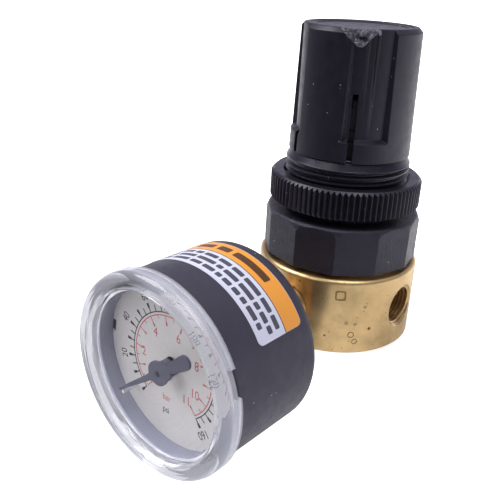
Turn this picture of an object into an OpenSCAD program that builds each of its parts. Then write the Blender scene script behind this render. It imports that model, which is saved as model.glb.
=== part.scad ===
// Air pressure regulator with a back-connected dial gauge.
// Frame: +Z up the regulator's axis, origin at the centre of the brass body's base,
// inlet towards -X, outlet towards +X, gauge towards -Y. Millimetres.

/* [Brass body] */
// Outside diameter of the brass body
body_d = 40; // [39.6:0.1:41]
// Height of the brass body under the bonnet
body_h = 19.3; // [19:0.1:19.6]
// Height of the port axes above the base
port_z = 10.2; // [10:0.1:10.4]
// Wall radius of a 1/8 inch pipe port
port_r = 5; // [4.9:0.05:5.1]
// Distance from the axis to a port's floor
port_floor = 11.5; // [11.2:0.1:11.8]
// Radius of the threaded boss that the bonnet screws onto
boss_r = 16.8; // [16.6:0.1:16.9]
// Height of the boss's top, where the diaphragm is clamped
boss_top = 24; // [23.8:0.1:24.2]
// Radius of the chamber under the diaphragm
chamber_r = 13.5; // [13.4:0.1:13.7]

/* [Valve] */
// Radius of the valve's seat hole
seat_r = 2.6; // [2.2:0.1:2.8]
// Radius of the valve's flange and seal
valve_r = 4.4; // [4:0.1:4.6]
// Radius of the valve's stem
stem_r = 1.2; // [1:0.1:1.3]

/* [Bonnet] */
// Corner radius of the twelve-sided skirt
skirt_r = 19.3; // [19.2:0.1:19.8]
// Height of the skirt's lower edge
skirt_z = 20.2; // [20:0.1:20.4]
// Height of the shoulder, where a panel rests
shoulder_z = 31.45; // [31.3:0.05:31.45]
// Outside radius of the M30 x 1.5 panel thread
neck_thread_r = 15; // [14.9:0.05:15.1]
// Height of the upper end of the threaded neck
neck_z = 45.85; // [45.6:0.05:45.85]
// Outside radius of the plain neck inside the knob
neck_r = 12.1; // [11.9:0.1:12.2]
// Height of the bonnet's top
bonnet_top = 59.9; // [59.7:0.1:60.1]
// Radius of the spring chamber
spring_bore_r = 9.8; // [9.7:0.1:9.9]

/* [Panel nut] */
// Height of the nut's lower face
nut_z = 33.5; // [33.5:0.1:33.8]
// Thickness of the nut
nut_h = 6.9; // [6.3:0.1:7]
// Radius over the knurl's crests
nut_r = 18.5; // [18.2:0.05:18.8]
// Number of knurls
nut_teeth = 86; // [60:1:96]
// Depth of a knurl
knurl_depth = 0.65; // [0.4:0.05:0.8]

/* [Knob] */
// Outside radius at the knob's skirt
knob_low_r = 14.6; // [14.2:0.05:14.8]
// Outside radius at the knob's top, above the draft
knob_top_r = 13.9; // [13.6:0.05:14]
// Height of the knob's lower edge
knob_z = 45.9; // [45.9:0.05:46.2]
// Height of the knob's top
knob_top = 74.9; // [74.5:0.1:75.4]
// How far the knob pulls up to unlock
knob_pull = 2.5; // [2:0.1:3]
// Angle of the middle of the first grip recess
recess_angle = -44; // [-90:1:90]
// Angle across one grip recess
recess_width = 43; // [30:1:50]
// Radius of the grip recesses' floors
recess_floor_r = 13.1; // [13:0.05:13.2]
// Angle of the first spring slot in the skirt
slot_angle = -57; // [-90:1:90]
// Width of a spring slot
slot_w = 1.3; // [0.8:0.1:1.6]
// Height of the slots' closed ends
slot_top = 61.2; // [60.5:0.1:61.5]

/* [Regulating spring] */
// Wire diameter of the regulating spring
spring_wire = 2.4; // [2:0.1:2.5]
// Mean radius of the regulating spring
spring_mean_r = 7.6; // [7.55:0.05:7.7]
// Turns of the regulating spring
spring_turns = 5; // [4:0.5:5]
// Height of the spring nut's flange when the spring is slack
spring_nut_z = 49.5; // [49:0.1:49.8]
// Radius of the adjusting screw's thread
screw_r = 4; // [3.9:0.05:4]

/* [Gauge case] */
// Outside radius of the gauge's case
case_r = 21.2; // [21:0.1:21.4]
// Distance from the regulator's axis to the case's back
case_back = 36.6; // [36:0.1:37]
// Distance from the regulator's axis to the case's front rim
case_front = 61.5; // [61.4:0.1:61.6]
// Bore of the case behind the dial
case_bore_r = 18.3; // [18.1:0.1:18.5]
// Outside radius of the clear lens
lens_r = 22.2; // [21.9:0.1:22.3]
// Distance from the regulator's axis to the lens's front
lens_front = 65.9; // [65.6:0.1:66.1]

/* [Dial and pointer] */
// Radius of the dial
dial_r = 18.75; // [18.5:0.05:18.8]
// Distance from the regulator's axis to the dial's face
dial_face = 58.1; // [58:0.05:58.2]
// Radius of the pointer's tip
pointer_tip_r = 15.5; // [14.5:0.1:16.5]
// Radius of the pointer's tail
pointer_tail_r = 11; // [9:0.1:12]
// Direction of the pointer's tip when there is no pressure
pointer_rest = -142; // [-145:1:-140]

/* [Gauge movement] */
// Module of the sector and pinion teeth
gear_module = 0.25; // [0.24:0.01:0.26]
// Teeth of the pinion
pinion_teeth = 8; // [8:1:8]
// Teeth of a full circle of the sector
sector_teeth = 56; // [56:1:56]
// Mean radius of the Bourdon tube
tube_r = 14.6; // [14.4:0.1:14.8]
// Radial thickness of the Bourdon tube
tube_t = 1.5; // [1.2:0.1:1.6]
// Width of the Bourdon tube
tube_w = 5; // [4.6:0.1:5]

/* [Hidden] */

$fn = 64;
eps = 0.01;
body_r = body_d / 2;
fit = 0.04;

// heights in the brass body
chamber_floor = boss_top - 3;
seat_z = 14.5;
seat_lip_h = 0.5;
valve_chamber_r = 6;
plug_thread_top = 7.8;
plug_head_h = 2.5;
plug_head_r = 9;
plug_shank_r = 6.45;
plug_floor = 4;
riser_r = 1.4;
riser_at = port_floor + 0.5;
passage_r = 2;

// the valve's stack
flange_z = 11.3;
seal_z = 12.6;
stem_top = 23;

// the diaphragm's stack
diaphragm_t = 0.9;
diaphragm_r = 16.4;
fold_at = 11.4;
fold_r = 1.8;
plate_z = boss_top + diaphragm_t;
plate_t = 1.5;
slip_t = 0.5;
ledge_z = plate_z + slip_t;

// the adjusting screw's stack
collar_z = 54.9;
collar_r = 6.5;
washer_z = 56.9;
washer_t = 0.5;
chamber_top = washer_z + washer_t;
screw_foot = 38;
hex_af = 7;
hex_top = 70.5;
lug_w = 3;
lug_r = 10.8;

// the knob's inside
knob_bore_r = 12.3;
knob_cavity_r = 11.6;
knob_roof = 72;
cap_z = 74;
cap_r = 11.65;
hub_r = 6.3;
hub_z = 62;
recess_z = 50.8;
slot_turns = [0, 120, 180, 300];
knob_chamfer = 1;

// the gauge's stack, as distances from the regulator's axis
block_z = 38.4;
block_front = 43.4;
plate_gauge_t = 0.8;
sector_z = 47;
sector_t = 0.8;
front_plate_z = 51.4;
link_z = 49.7;
link_t = 0.5;
tube_z = 44;
dial_back = dial_face - 0.6;
hub_back = 59;
pointer_back = 61.5;
pointer_front = 62.2;
case_wall_back = 1.6;
lens_seat_r = 19.5;

// sector geometry: the pivot, and the pin that the link pulls
pinion_pitch_r = gear_module * pinion_teeth / 2;
sector_pitch_r = gear_module * sector_teeth / 2;
pivot_angle = -45;
pivot = (pinion_pitch_r + sector_pitch_r) * [cos(pivot_angle), sin(pivot_angle)];
tail_len = 3.9;
tail_angle = -20;
tail_pin = pivot + tail_len * [cos(tail_angle), sin(tail_angle)];
tip_angle = -10;
tip_pin = tube_r * [cos(tip_angle), sin(tip_angle)];
tip_half = 4;
post_places = [[-5.6, -2.6], [1.5, 5.9]];
case_screw_x = 3.6;
case_screw_y = -9.5;
back_screw_x = 3.2;
back_screw_y = -9.3;
pin_r = 0.4;
arbor_r = 0.5;
collet_r = 0.9;
hairspring_z = 45.2;
hairspring_r = 4;

// the stop pin and the dial's keys
stop_pin_r = 0.42;
pin_at = 14.5;
pin_angle = pointer_rest + 3.4;
key_angles = [173, -7];
key_r = 18;
key_w = 2.6;

// points along an arc about c, from angle a0 to angle a1
function arc(c, r, a0, a1, n) =
    [for (i = [0:n]) let (a = a0 + (a1 - a0) * i / n) c + r * [cos(a), sin(a)]];

// a ring of rectangular section
module ring(r_in, r_out, h) {
    difference() {
        cylinder(r = r_out, h = h);
        translate([0, 0, -1]) cylinder(r = r_in, h = h + 2);
    }
}

// places a child in the gauge: its z runs from the regulator's axis towards the viewer of
// the dial, its y runs up
module gauge_frame() {
    translate([0, 0, port_z]) rotate([90, 0, 0]) children();
}

// a closed coil spring standing on z0, with its ends flattened into the end planes
module coil_spring(wire_r, mean_r, z0, z1, turns, per_turn = 20, sides = 8) {
    steps = turns * per_turn;
    low = z0 + wire_r;
    rise = z1 - z0 - 2 * wire_r;
    points = [for (i = [0:steps]) for (k = [0:sides - 1])
        let (a = 360 * i / per_turn, b = 360 * k / sides, r = mean_r + wire_r * cos(b))
        [r * cos(a), r * sin(a), low + rise * i / steps + wire_r * sin(b)]];
    walls = [for (i = [0:steps - 1]) for (k = [0:sides - 1])
        let (p = i * sides + k, q = i * sides + (k + 1) % sides)
        [p, p + sides, q + sides, q]];
    first = [for (k = [0:sides - 1]) k];
    last = [for (k = [sides - 1:-1:0]) steps * sides + k];
    polyhedron(points, concat(walls, [first, last]), convexity = 10);
}

// one port bore along +X with its countersunk mouth
module port_bore() {
    mouth = 0.6;
    translate([port_floor, 0, port_z]) rotate([0, 90, 0])
        cylinder(r = port_r, h = body_r - port_floor + 1);
    translate([body_r - mouth, 0, port_z]) rotate([0, 90, 0])
        cylinder(r1 = port_r, r2 = port_r + 2 * mouth, h = 2 * mouth);
}

module body_brass() {
    edge = 1;
    color("goldenrod") difference() {
        rotate_extrude() polygon(concat(
            [[0, 0], [body_r - 0.3, 0], [body_r, 0.3]],
            arc([body_r - edge, body_h - edge], edge, 0, 90, 6),
            [[boss_r, body_h], [boss_r, boss_top], [0, boss_top]]));
        // diaphragm chamber and seat hole
        translate([0, 0, chamber_floor]) cylinder(r = chamber_r, h = 10);
        translate([0, 0, seat_z - 1]) cylinder(r = seat_r, h = 10);
        // valve chamber, with the seat's lip left standing round the hole
        difference() {
            translate([0, 0, plug_floor]) cylinder(r = valve_chamber_r, h = seat_z + seat_lip_h - plug_floor);
            translate([0, 0, seat_z]) ring(seat_r, seat_r + 0.8, 1);
        }
        // bottom plug's thread, O-ring gland and head
        cylinder(r = plug_shank_r + fit, h = plug_thread_top + 0.2);
        cylinder(r = plug_head_r - 0.7, h = plug_head_h + 1.6);
        translate([0, 0, -1]) cylinder(r = plug_head_r + fit, h = plug_head_h + 1);
        for (a = [0:90:270]) rotate(a) port_bore();
        // inlet passage to the valve chamber
        translate([-port_floor - 1, 0, port_z]) rotate([0, 90, 0]) cylinder(r = passage_r, h = port_floor - 4);
        // risers from the outlet and both gauge ports to the diaphragm chamber
        for (a = [0, 90, 270]) rotate(a) translate([riser_at, 0, port_z])
            cylinder(r = riser_r, h = chamber_floor - port_z + 1);
    }
}

module rear_port_plug() {
    length = 6.6;
    color("darkgoldenrod") translate([0, port_floor + 0.5, port_z]) rotate([-90, 0, 0]) difference() {
        cylinder(r = port_r - fit, h = length);
        translate([0, 0, length - 3.6]) cylinder(r = 4.76 / 2 / cos(30), h = 5, $fn = 6);
    }
}

module bottom_plug() {
    color("gold") difference() {
        union() {
            cylinder(r = plug_head_r, h = plug_head_h - fit);
            cylinder(r = plug_shank_r, h = plug_thread_top);
        }
        translate([0, 0, plug_floor]) cylinder(r = 3.3, h = 10);
        for (side = [-1, 1]) translate([side * 5.5, 0, -1]) cylinder(r = 1.1, h = 2.8);
    }
}

module plug_oring() {
    section_r = 0.72;
    color("black") translate([0, 0, plug_head_h + 0.8]) rotate_extrude()
        translate([plug_shank_r + section_r + 0.2, 0]) circle(r = section_r, $fn = 24);
}

module valve_poppet() {
    color("khaki") rotate_extrude() polygon([
        [0, flange_z - 2.3], [1.9, flange_z - 2.3], [1.9, flange_z], [valve_r, flange_z],
        [valve_r, seal_z], [stem_r, seal_z], [stem_r, stem_top - 0.6], [0.8, stem_top], [0, stem_top]]);
}

module valve_seal() {
    color("dimgray") translate([0, 0, seal_z]) ring(stem_r, valve_r, seat_z - seal_z);
}

module valve_spring() {
    color("silver") coil_spring(0.35, 2.6, plug_floor, flange_z, 6, 16, 6);
}

module diaphragm() {
    upper_r = fold_r + diaphragm_t;
    lean = asin(diaphragm_t / upper_r);
    color("saddlebrown") rotate_extrude() polygon(concat(
        [[2.5, boss_top]],
        arc([fold_at, boss_top], fold_r, 180, 0, 12),
        [[diaphragm_r, boss_top], [diaphragm_r, plate_z]],
        arc([fold_at, boss_top], upper_r, lean, 180 - lean, 12),
        [[2.5, plate_z]]));
}

module relief_seat() {
    color("gold") difference() {
        union() {
            translate([0, 0, stem_top]) cylinder(r = 5.5, h = boss_top - stem_top);
            translate([0, 0, stem_top]) cylinder(r = 2.45, h = plate_z + 1.3 - stem_top);
        }
        translate([0, 0, stem_top - 1]) cylinder(r = 0.6, h = 10);
    }
}

module diaphragm_plate() {
    color("lightsteelblue") difference() {
        union() {
            translate([0, 0, plate_z]) cylinder(r = 8.6, h = plate_t);
            translate([0, 0, plate_z]) cylinder(r = spring_mean_r - spring_wire / 2 - 0.1, h = plate_t + 2);
        }
        translate([0, 0, plate_z - 1]) cylinder(r = 2.45, h = plate_t + 1);
        translate([0, 0, plate_z - 1]) cylinder(r = 0.9, h = 10);
    }
}

module slip_ring() {
    color("silver") translate([0, 0, plate_z]) ring(chamber_r + 0.6, diaphragm_r, slip_t);
}

module regulating_spring() {
    color("dimgray") coil_spring(spring_wire / 2, spring_mean_r, plate_z + plate_t, spring_nut_z,
        spring_turns, 24, 10);
}

module spring_nut() {
    flange_t = 2.5;
    color("gainsboro") difference() {
        union() {
            translate([0, 0, spring_nut_z]) cylinder(r = spring_bore_r - 0.2, h = flange_t);
            translate([0, 0, spring_nut_z - 3]) cylinder(r = spring_mean_r - spring_wire / 2 - 0.1, h = 4);
            for (a = [0, 90]) rotate(a) translate([-lug_r, -lug_w / 2, spring_nut_z])
                cube([2 * lug_r, lug_w, flange_t]);
        }
        translate([0, 0, spring_nut_z - 4]) cylinder(r = screw_r + fit, h = 10);
    }
}

module adjusting_screw() {
    color("silver") union() {
        translate([0, 0, screw_foot]) cylinder(r1 = screw_r - 0.8, r2 = screw_r, h = 0.8);
        translate([0, 0, screw_foot + 0.8]) cylinder(r = screw_r, h = collar_z - screw_foot);
        translate([0, 0, collar_z]) cylinder(r = collar_r, h = washer_z - collar_z);
        translate([0, 0, washer_z - eps]) cylinder(r = hex_af / 2 / cos(30), h = hex_top - washer_z, $fn = 6);
    }
}

module thrust_washer() {
    color("ivory") translate([0, 0, washer_z]) ring(4.3, 8, washer_t);
}

module bonnet() {
    lead = 1.9;
    lead_round = 0.5;
    thread_end = neck_z - lead;
    detent_zs = [50.5, 50.5 + knob_pull];
    color("#26262a") difference() {
        union() {
            intersection() {
                rotate(30) translate([0, 0, skirt_z]) cylinder(r = skirt_r, h = shoulder_z - skirt_z, $fn = 12);
                rotate_extrude() polygon([[0, 0], [skirt_r, 0], [skirt_r, 29.9], [18.9, 30.9],
                    [18, shoulder_z], [0, shoulder_z]]);
            }
            // threaded neck with a rounded lead at its upper end
            rotate_extrude() polygon(concat([[0, shoulder_z - 1], [neck_thread_r, shoulder_z - 1]],
                arc([neck_thread_r - lead_round, thread_end], lead_round, 0, 60, 4),
                [[neck_thread_r - 0.95, neck_z], [0, neck_z]]));
            translate([0, 0, neck_z - 1]) cylinder(r = neck_r, h = bonnet_top - neck_z + 0.5);
            translate([0, 0, bonnet_top - 0.5]) cylinder(r1 = neck_r, r2 = neck_r - 0.5, h = 0.5);
        }
        // skirt's thread, diaphragm space and spring chamber
        translate([0, 0, skirt_z - 1]) cylinder(r = boss_r + 0.05, h = ledge_z - skirt_z + 1);
        translate([0, 0, ledge_z - 1]) cylinder(r = chamber_r + 0.5, h = 28.5 - ledge_z + 1);
        translate([0, 0, 28.5]) cylinder(r1 = chamber_r, r2 = spring_bore_r, h = 2);
        translate([0, 0, 28]) cylinder(r = spring_bore_r, h = chamber_top - 28);
        // keyways that stop the spring nut turning
        for (a = [0, 90]) rotate(a) translate([-lug_r - 0.1, -lug_w / 2 - 0.15, 30])
            cube([2 * lug_r + 0.2, lug_w + 0.3, chamber_top - 30]);
        translate([0, 0, 50]) cylinder(r = 4.15, h = 20);
        // grooves for the knob's detent
        for (z = detent_zs) translate([0, 0, z - 0.4]) ring(neck_r - 0.3, neck_r + 1, 0.8);
        // lock notches round the top
        for (i = [0:23]) rotate(15 * i) translate([neck_r - 0.7, -0.4, bonnet_top - 2])
            cube([2, 0.8, 3]);
    }
}

module panel_nut() {
    root_r = nut_r - knurl_depth;
    step = 360 / nut_teeth;
    chamfer = 0.6;
    color("#1c1c20") difference() {
        intersection() {
            translate([0, 0, nut_z]) linear_extrude(nut_h) polygon([for (i = [0:nut_teeth - 1])
                for (half = [0, 1])
                let (a = step * (i + half / 2), r = half == 0 ? nut_r : root_r)
                [r * cos(a), r * sin(a)]]);
            rotate_extrude() polygon([[0, nut_z], [nut_r - 0.3, nut_z], [nut_r + eps, nut_z + 0.3],
                [nut_r + eps, nut_z + nut_h - chamfer], [nut_r - 0.75, nut_z + nut_h], [0, nut_z + nut_h]]);
        }
        translate([0, 0, nut_z - 1]) cylinder(r = neck_thread_r + 0.05, h = nut_h + 2);
    }
}

// the wedge of space that one grip recess takes from the knob
module grip_recess() {
    inner = recess_width / 2 - 2;
    outer = recess_width / 2 + 2.5;
    far = 16;
    difference() {
        translate([0, 0, recess_z]) linear_extrude(knob_top - recess_z + 1) polygon([
            [0, 0],
            (recess_floor_r - 0.1) * [cos(inner), -sin(inner)], far * [cos(outer), -sin(outer)],
            [far + 1, 0],
            far * [cos(outer), sin(outer)], (recess_floor_r - 0.1) * [cos(inner), sin(inner)]]);
        cylinder(r = recess_floor_r, h = knob_top + 5);
    }
}

module knob() {
    bead_clear = 0.05;
    color("#17171b") union() {
        difference() {
            rotate_extrude() polygon([[0, knob_z], [knob_low_r - 0.2, knob_z], [knob_low_r, knob_z + 0.2],
                [knob_top_r, knob_top - knob_chamfer], [knob_top_r - knob_chamfer, knob_top], [0, knob_top]]);
            translate([0, 0, knob_z - 1]) cylinder(r = knob_bore_r, h = hub_z - knob_z + 1);
            translate([0, 0, hub_z - 1]) ring(hub_r, knob_cavity_r, knob_roof - hub_z + 1);
            translate([0, 0, hub_z - 1]) cylinder(r = (hex_af + 0.12) / 2 / cos(30), h = 10.2, $fn = 6);
            translate([0, 0, cap_z]) cylinder(r = cap_r + fit, h = 5);
            for (a = [0:90:270]) rotate(recess_angle + a) grip_recess();
            for (a = slot_turns) rotate(slot_angle + a) translate([neck_r, -slot_w / 2, knob_z - 1])
                cube([10, slot_w, slot_top - knob_z + 1]);
        }
        // detent bead, cut through by the slots
        difference() {
            translate([0, 0, 50.2]) ring(neck_r + bead_clear, knob_bore_r + 0.1, 0.6);
            for (a = slot_turns) rotate(slot_angle + a) translate([neck_r - 1, -slot_w / 2, knob_z])
                cube([10, slot_w, slot_top - knob_z]);
        }
    }
}

module knob_cap() {
    color("#202024") translate([0, 0, cap_z]) union() {
        cylinder(r = cap_r, h = 0.35);
        cylinder(r1 = cap_r, r2 = cap_r - 0.3, h = 0.7);
    }
}

module gauge_socket() {
    square_af = 12;
    color("darkgoldenrod") gauge_frame() difference() {
        union() {
            translate([0, 0, port_floor + 0.8]) cylinder(r = port_r - fit, h = 24.2 - port_floor - 0.8);
            intersection() {
                translate([-square_af / 2, -square_af / 2, 24]) cube([square_af, square_af, case_back - 24]);
                translate([0, 0, 24]) cylinder(r1 = 6.6, r2 = 20, h = 13.4);
                cylinder(r = 7.6, h = 40);
            }
            translate([0, 0, case_back - eps]) cylinder(r = 5.9, h = block_z - case_back + 0.2);
            translate([-5.5, -16.6, block_z]) cube([11, 22.6, block_front - block_z]);
            translate([-2.5, -16.6, block_z]) cube([5, 4.2, tube_z + tube_w - block_z + 0.4]);
        }
        // pressure channel to the tube's root
        translate([0, 0, port_floor]) cylinder(r = 1.2, h = 41 - port_floor);
        translate([0, 0, port_floor]) cylinder(r = 1.6, h = 4.2);
        translate([0, -14.5, 41]) rotate([-90, 0, 0]) cylinder(r = 0.9, h = 14.5);
        translate([0, -tube_r, 41]) cylinder(r = 0.9, h = 5.5);
        translate([0, -tube_r, 46.5]) rotate([0, -90, 0]) cylinder(r = 0.5, h = 4);
        // screw holes for the case at the back and the movement at the front
        for (side = [-1, 1]) translate([side * case_screw_x, case_screw_y, block_z - 1])
            cylinder(r = 1.2, h = 4);
        for (side = [-1, 1]) translate([side * back_screw_x, back_screw_y, block_front - 1.6])
            cylinder(r = 0.65, h = 3);
        // foot clearance for both arbors
        for (p = [[0, 0], pivot]) translate([p[0], p[1], block_front - 0.5]) cylinder(r = 1, h = 2);
    }
}

module restrictor() {
    color("gold") gauge_frame() difference() {
        translate([0, 0, port_floor + 1]) cylinder(r = 1.6 - 0.02, h = 3);
        translate([0, 0, port_floor]) cylinder(r = 0.3, h = 6);
        translate([-2, -0.25, port_floor]) cube([4, 0.5, 1.6]);
    }
}

module gauge_case() {
    back_round = 2.6;
    key_h = 0.45;
    color("#34343b") gauge_frame() union() {
        difference() {
            rotate_extrude() polygon(concat(
                [[0, case_back]],
                arc([case_r - back_round, case_back + back_round], back_round, -90, 0, 8),
                [[case_r, case_front], [lens_seat_r, case_front], [lens_seat_r, dial_back],
                 [case_bore_r, dial_back], [case_bore_r, case_back + case_wall_back],
                 [0, case_back + case_wall_back]]));
            translate([0, 0, case_back - 1]) cylinder(r = 5.95, h = 5);
            for (side = [-1, 1]) translate([side * case_screw_x, case_screw_y, case_back - 1])
                cylinder(r = 1.3, h = 5);
        }
        // two keys that stop the dial turning
        for (a = key_angles) rotate(a) translate([0, 0, dial_back - 0.3]) intersection() {
            translate([key_r, -key_w / 2, 0]) cube([3, key_w, key_h + 0.3]);
            cylinder(r = lens_seat_r + 0.3, h = 2);
        }
    }
}

module case_screws() {
    shank_r = 1.15;
    color("silver") gauge_frame() for (side = [-1, 1]) translate([side * case_screw_x, case_screw_y, 0])
        difference() {
            union() {
                translate([0, 0, case_back - eps]) cylinder(r = shank_r, h = 4.6);
                translate([0, 0, case_back - 1.2]) cylinder(r1 = 1.6, r2 = 2.2, h = 1.2);
            }
            translate([-3, -0.3, case_back - 2]) cube([6, 0.6, 1.3]);
        }
}

// the flattened oval section of the tube, standing at its place in the rotation
module oval(t, w) {
    translate([tube_r, tube_z + tube_w / 2]) union() {
        square([t, w - t], center = true);
        for (side = [-1, 1]) translate([0, side * (w - t) / 2]) circle(r = t / 2, $fn = 24);
    }
}

module bourdon_tube() {
    root = 270 - asin(2.5 / (tube_r - tube_t));
    start = tip_angle + tip_half;
    wall = 0.25;
    color("peru") gauge_frame() rotate(start) rotate_extrude(angle = root - start, $fn = 96)
        difference() {
            oval(tube_t, tube_w);
            oval(tube_t - 2 * wall, tube_w - 2 * wall);
        }
}

module tube_tip() {
    color("darkgoldenrod") gauge_frame() union() {
        rotate(tip_angle - tip_half) rotate_extrude(angle = 2 * tip_half - 0.05, $fn = 96)
            translate([tube_r - 1.1, tube_z - 0.1]) square([2.2, tube_w + 0.2]);
        translate([tip_pin[0], tip_pin[1], tube_z + tube_w]) cylinder(r = pin_r, h = link_z + link_t - tube_z - tube_w + 0.2);
    }
}

module link() {
    span = tip_pin - tail_pin;
    length = norm(span);
    loose = 0.35;
    color("gold") gauge_frame() translate([tail_pin[0], tail_pin[1], link_z])
        rotate(atan2(span[1], span[0])) difference() {
            union() {
                translate([0, -0.5, 0]) cube([length, 1, link_t]);
                cylinder(r = 0.9, h = link_t);
                translate([length, 0, 0]) cylinder(r = 1.25, h = link_t);
            }
            translate([0, 0, -1]) cylinder(r = pin_r + fit, h = 3);
            translate([length, 0, -1]) cylinder(r = pin_r + loose, h = 3);
        }
}

// one gear tooth along +x: half widths at its root, pitch line and tip
module tooth(root_r, pitch_r, tip_r, half_root, half_pitch, half_tip, h) {
    linear_extrude(h) polygon([
        [root_r - 0.2, -half_root], [root_r, -half_root], [pitch_r, -half_pitch], [tip_r, -half_tip],
        [tip_r, half_tip], [pitch_r, half_pitch], [root_r, half_root], [root_r - 0.2, half_root]]);
}

module sector_gear() {
    pitch = 360 / sector_teeth;
    mesh = pivot_angle + 180;
    first = -8;
    last = 1;
    root_r = sector_pitch_r - 0.32;
    from = mesh + (first - 0.1) * pitch;
    to = mesh + (last + 1.1) * pitch;
    color("gold") gauge_frame() union() {
        translate([pivot[0], pivot[1], sector_z]) {
            linear_extrude(sector_t) polygon(concat([[0, 0]], arc([0, 0], root_r, from, to, 12)));
            for (k = [first:last]) rotate(mesh + (k + 0.5) * pitch)
                tooth(root_r, sector_pitch_r, sector_pitch_r + 0.2, 0.17, 0.12, 0.05, sector_t);
            cylinder(r = 1.5, h = sector_t);
            rotate(tail_angle) translate([0, -0.7, 0]) cube([tail_len, 1.4, sector_t]);
            rotate(tail_angle) translate([tail_len, 0, 0]) cylinder(r = 0.9, h = sector_t);
        }
        // its arbor, and the pin that carries the link
        translate([pivot[0], pivot[1], block_front + 0.05])
            cylinder(r = arbor_r, h = front_plate_z + plate_gauge_t - block_front);
        translate([tail_pin[0], tail_pin[1], sector_z]) cylinder(r = pin_r, h = link_z + link_t + 0.2 - sector_z);
    }
}

module pinion_arbor() {
    root_r = 0.68;
    tip_r = pinion_pitch_r + 0.2;
    corners = [[root_r, -0.17], [pinion_pitch_r, -0.12], [tip_r, -0.05],
        [tip_r, 0.05], [pinion_pitch_r, 0.12], [root_r, 0.17]];
    outline = [for (k = [0:pinion_teeth - 1], p = corners)
        let (a = pivot_angle + 360 / pinion_teeth * k)
        [p[0] * cos(a) - p[1] * sin(a), p[0] * sin(a) + p[1] * cos(a)]];
    color("silver") gauge_frame() union() {
        translate([0, 0, block_front + 0.05]) cylinder(r = arbor_r, h = pointer_front + 0.1 - block_front - 0.05);
        // collet that holds the hairspring
        translate([0, 0, hairspring_z - 0.1]) cylinder(r = collet_r, h = 1);
        translate([0, 0, sector_z - 0.3]) linear_extrude(sector_t + 0.6) polygon(outline);
    }
}

module hairspring() {
    strip = 0.12;
    turns = 3.5;
    steps = 16 * turns;
    function at(i, side) = let (a = 360 * i / 16, r = collet_r + strip / 2
        + (hairspring_r - collet_r) * i / steps + side * strip / 2) [r * cos(a), r * sin(a)];
    color("goldenrod") gauge_frame() translate([0, 0, hairspring_z]) linear_extrude(0.7)
        polygon(concat([for (i = [0:steps]) at(i, 1)], [for (i = [steps:-1:0]) at(i, -1)]));
}

// outline shared by both movement plates: a disc with a pad at the sector's pivot
module plate_outline() {
    circle(r = 7.5);
    translate(pivot) circle(r = 2.1);
}

module plate_holes() {
    translate([0, 0, -1]) cylinder(r = arbor_r + fit, h = 4);
    translate([pivot[0], pivot[1], -1]) cylinder(r = arbor_r + fit, h = 4);
}

module movement_back_plate() {
    color("gold") gauge_frame() difference() {
        union() {
            translate([0, 0, block_front]) linear_extrude(plate_gauge_t) union() {
                plate_outline();
                translate([-4.6, -11]) square([9.2, 8]);
            }
            // stud for the hairspring's outer end
            translate([-hairspring_r - 0.9, 0, block_front]) cylinder(r = 0.6, h = hairspring_z + 0.8 - block_front);
        }
        translate([0, 0, block_front]) plate_holes();
        for (side = [-1, 1]) translate([side * back_screw_x, back_screw_y, block_front - 1])
            cylinder(r = 0.65, h = 4);
    }
}

module movement_front_plate() {
    color("gold") gauge_frame() difference() {
        translate([0, 0, front_plate_z]) linear_extrude(plate_gauge_t) plate_outline();
        translate([0, 0, front_plate_z]) plate_holes();
        for (p = post_places) translate([p[0], p[1], front_plate_z - 1]) cylinder(r = 0.5, h = 4);
    }
}

module movement_posts() {
    back = block_front + plate_gauge_t;
    color("gold") gauge_frame() for (p = post_places) translate([p[0], p[1], back]) difference() {
        cylinder(r = 0.9, h = front_plate_z - back);
        translate([0, 0, front_plate_z - back - 2.5]) cylinder(r = 0.5, h = 4);
    }
}

// a slotted cheese-head screw pointing down from its head's seat at z = 0
module small_screw(shank_r, shank_l, head_r) {
    head_h = 0.8;
    difference() {
        union() {
            translate([0, 0, -shank_l]) cylinder(r = shank_r, h = shank_l + head_h / 2);
            cylinder(r = head_r, h = head_h);
        }
        translate([-head_r - 1, -0.15, head_h - 0.35]) cube([2 * head_r + 2, 0.3, 1]);
    }
}

module movement_screws() {
    color("silver") gauge_frame() {
        for (p = post_places) translate([p[0], p[1], front_plate_z + plate_gauge_t]) small_screw(0.46, 2.6, 1.2);
        for (side = [-1, 1]) translate([side * back_screw_x, back_screw_y, block_front + plate_gauge_t])
            small_screw(0.6, 2, 1.2);
    }
}

module dial() {
    color("gainsboro") gauge_frame() difference() {
        translate([0, 0, dial_back]) cylinder(r = dial_r + 0.55, h = dial_face - dial_back);
        translate([0, 0, dial_back - 1]) cylinder(r = 2.15, h = 3);
        rotate(pin_angle) translate([pin_at, 0, dial_back - 1]) cylinder(r = stop_pin_r, h = 3);
        for (a = key_angles) rotate(a) translate([key_r - 0.1, -key_w / 2 - 0.1, dial_back - 1])
            cube([3, key_w + 0.2, 3]);
    }
}

module stop_pin() {
    color("white") gauge_frame() rotate(pin_angle) translate([pin_at, 0, dial_back])
        cylinder(r = stop_pin_r, h = pointer_front - dial_back);
}

module pointer() {
    root_half = 0.9;
    tip_half_w = 0.28;
    tail_half = 1.6;
    hub_disc_r = 2.7;
    color("#3a3a44") gauge_frame() rotate(pointer_rest) difference() {
        union() {
            translate([0, 0, pointer_back]) linear_extrude(pointer_front - pointer_back) union() {
                polygon([[0, -root_half], [pointer_tip_r, -tip_half_w],
                    [pointer_tip_r, tip_half_w], [0, root_half]]);
                circle(r = hub_disc_r);
                polygon([[0, 1.1], [tail_half - pointer_tail_r, tail_half],
                    [tail_half - pointer_tail_r, -tail_half], [0, -1.1]]);
                translate([tail_half - pointer_tail_r, 0]) circle(r = tail_half);
            }
            translate([0, 0, hub_back]) cylinder(r = 2, h = pointer_back - hub_back + eps);
        }
        translate([0, 0, hub_back - 1]) cylinder(r = arbor_r, h = 6);
    }
}

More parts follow.
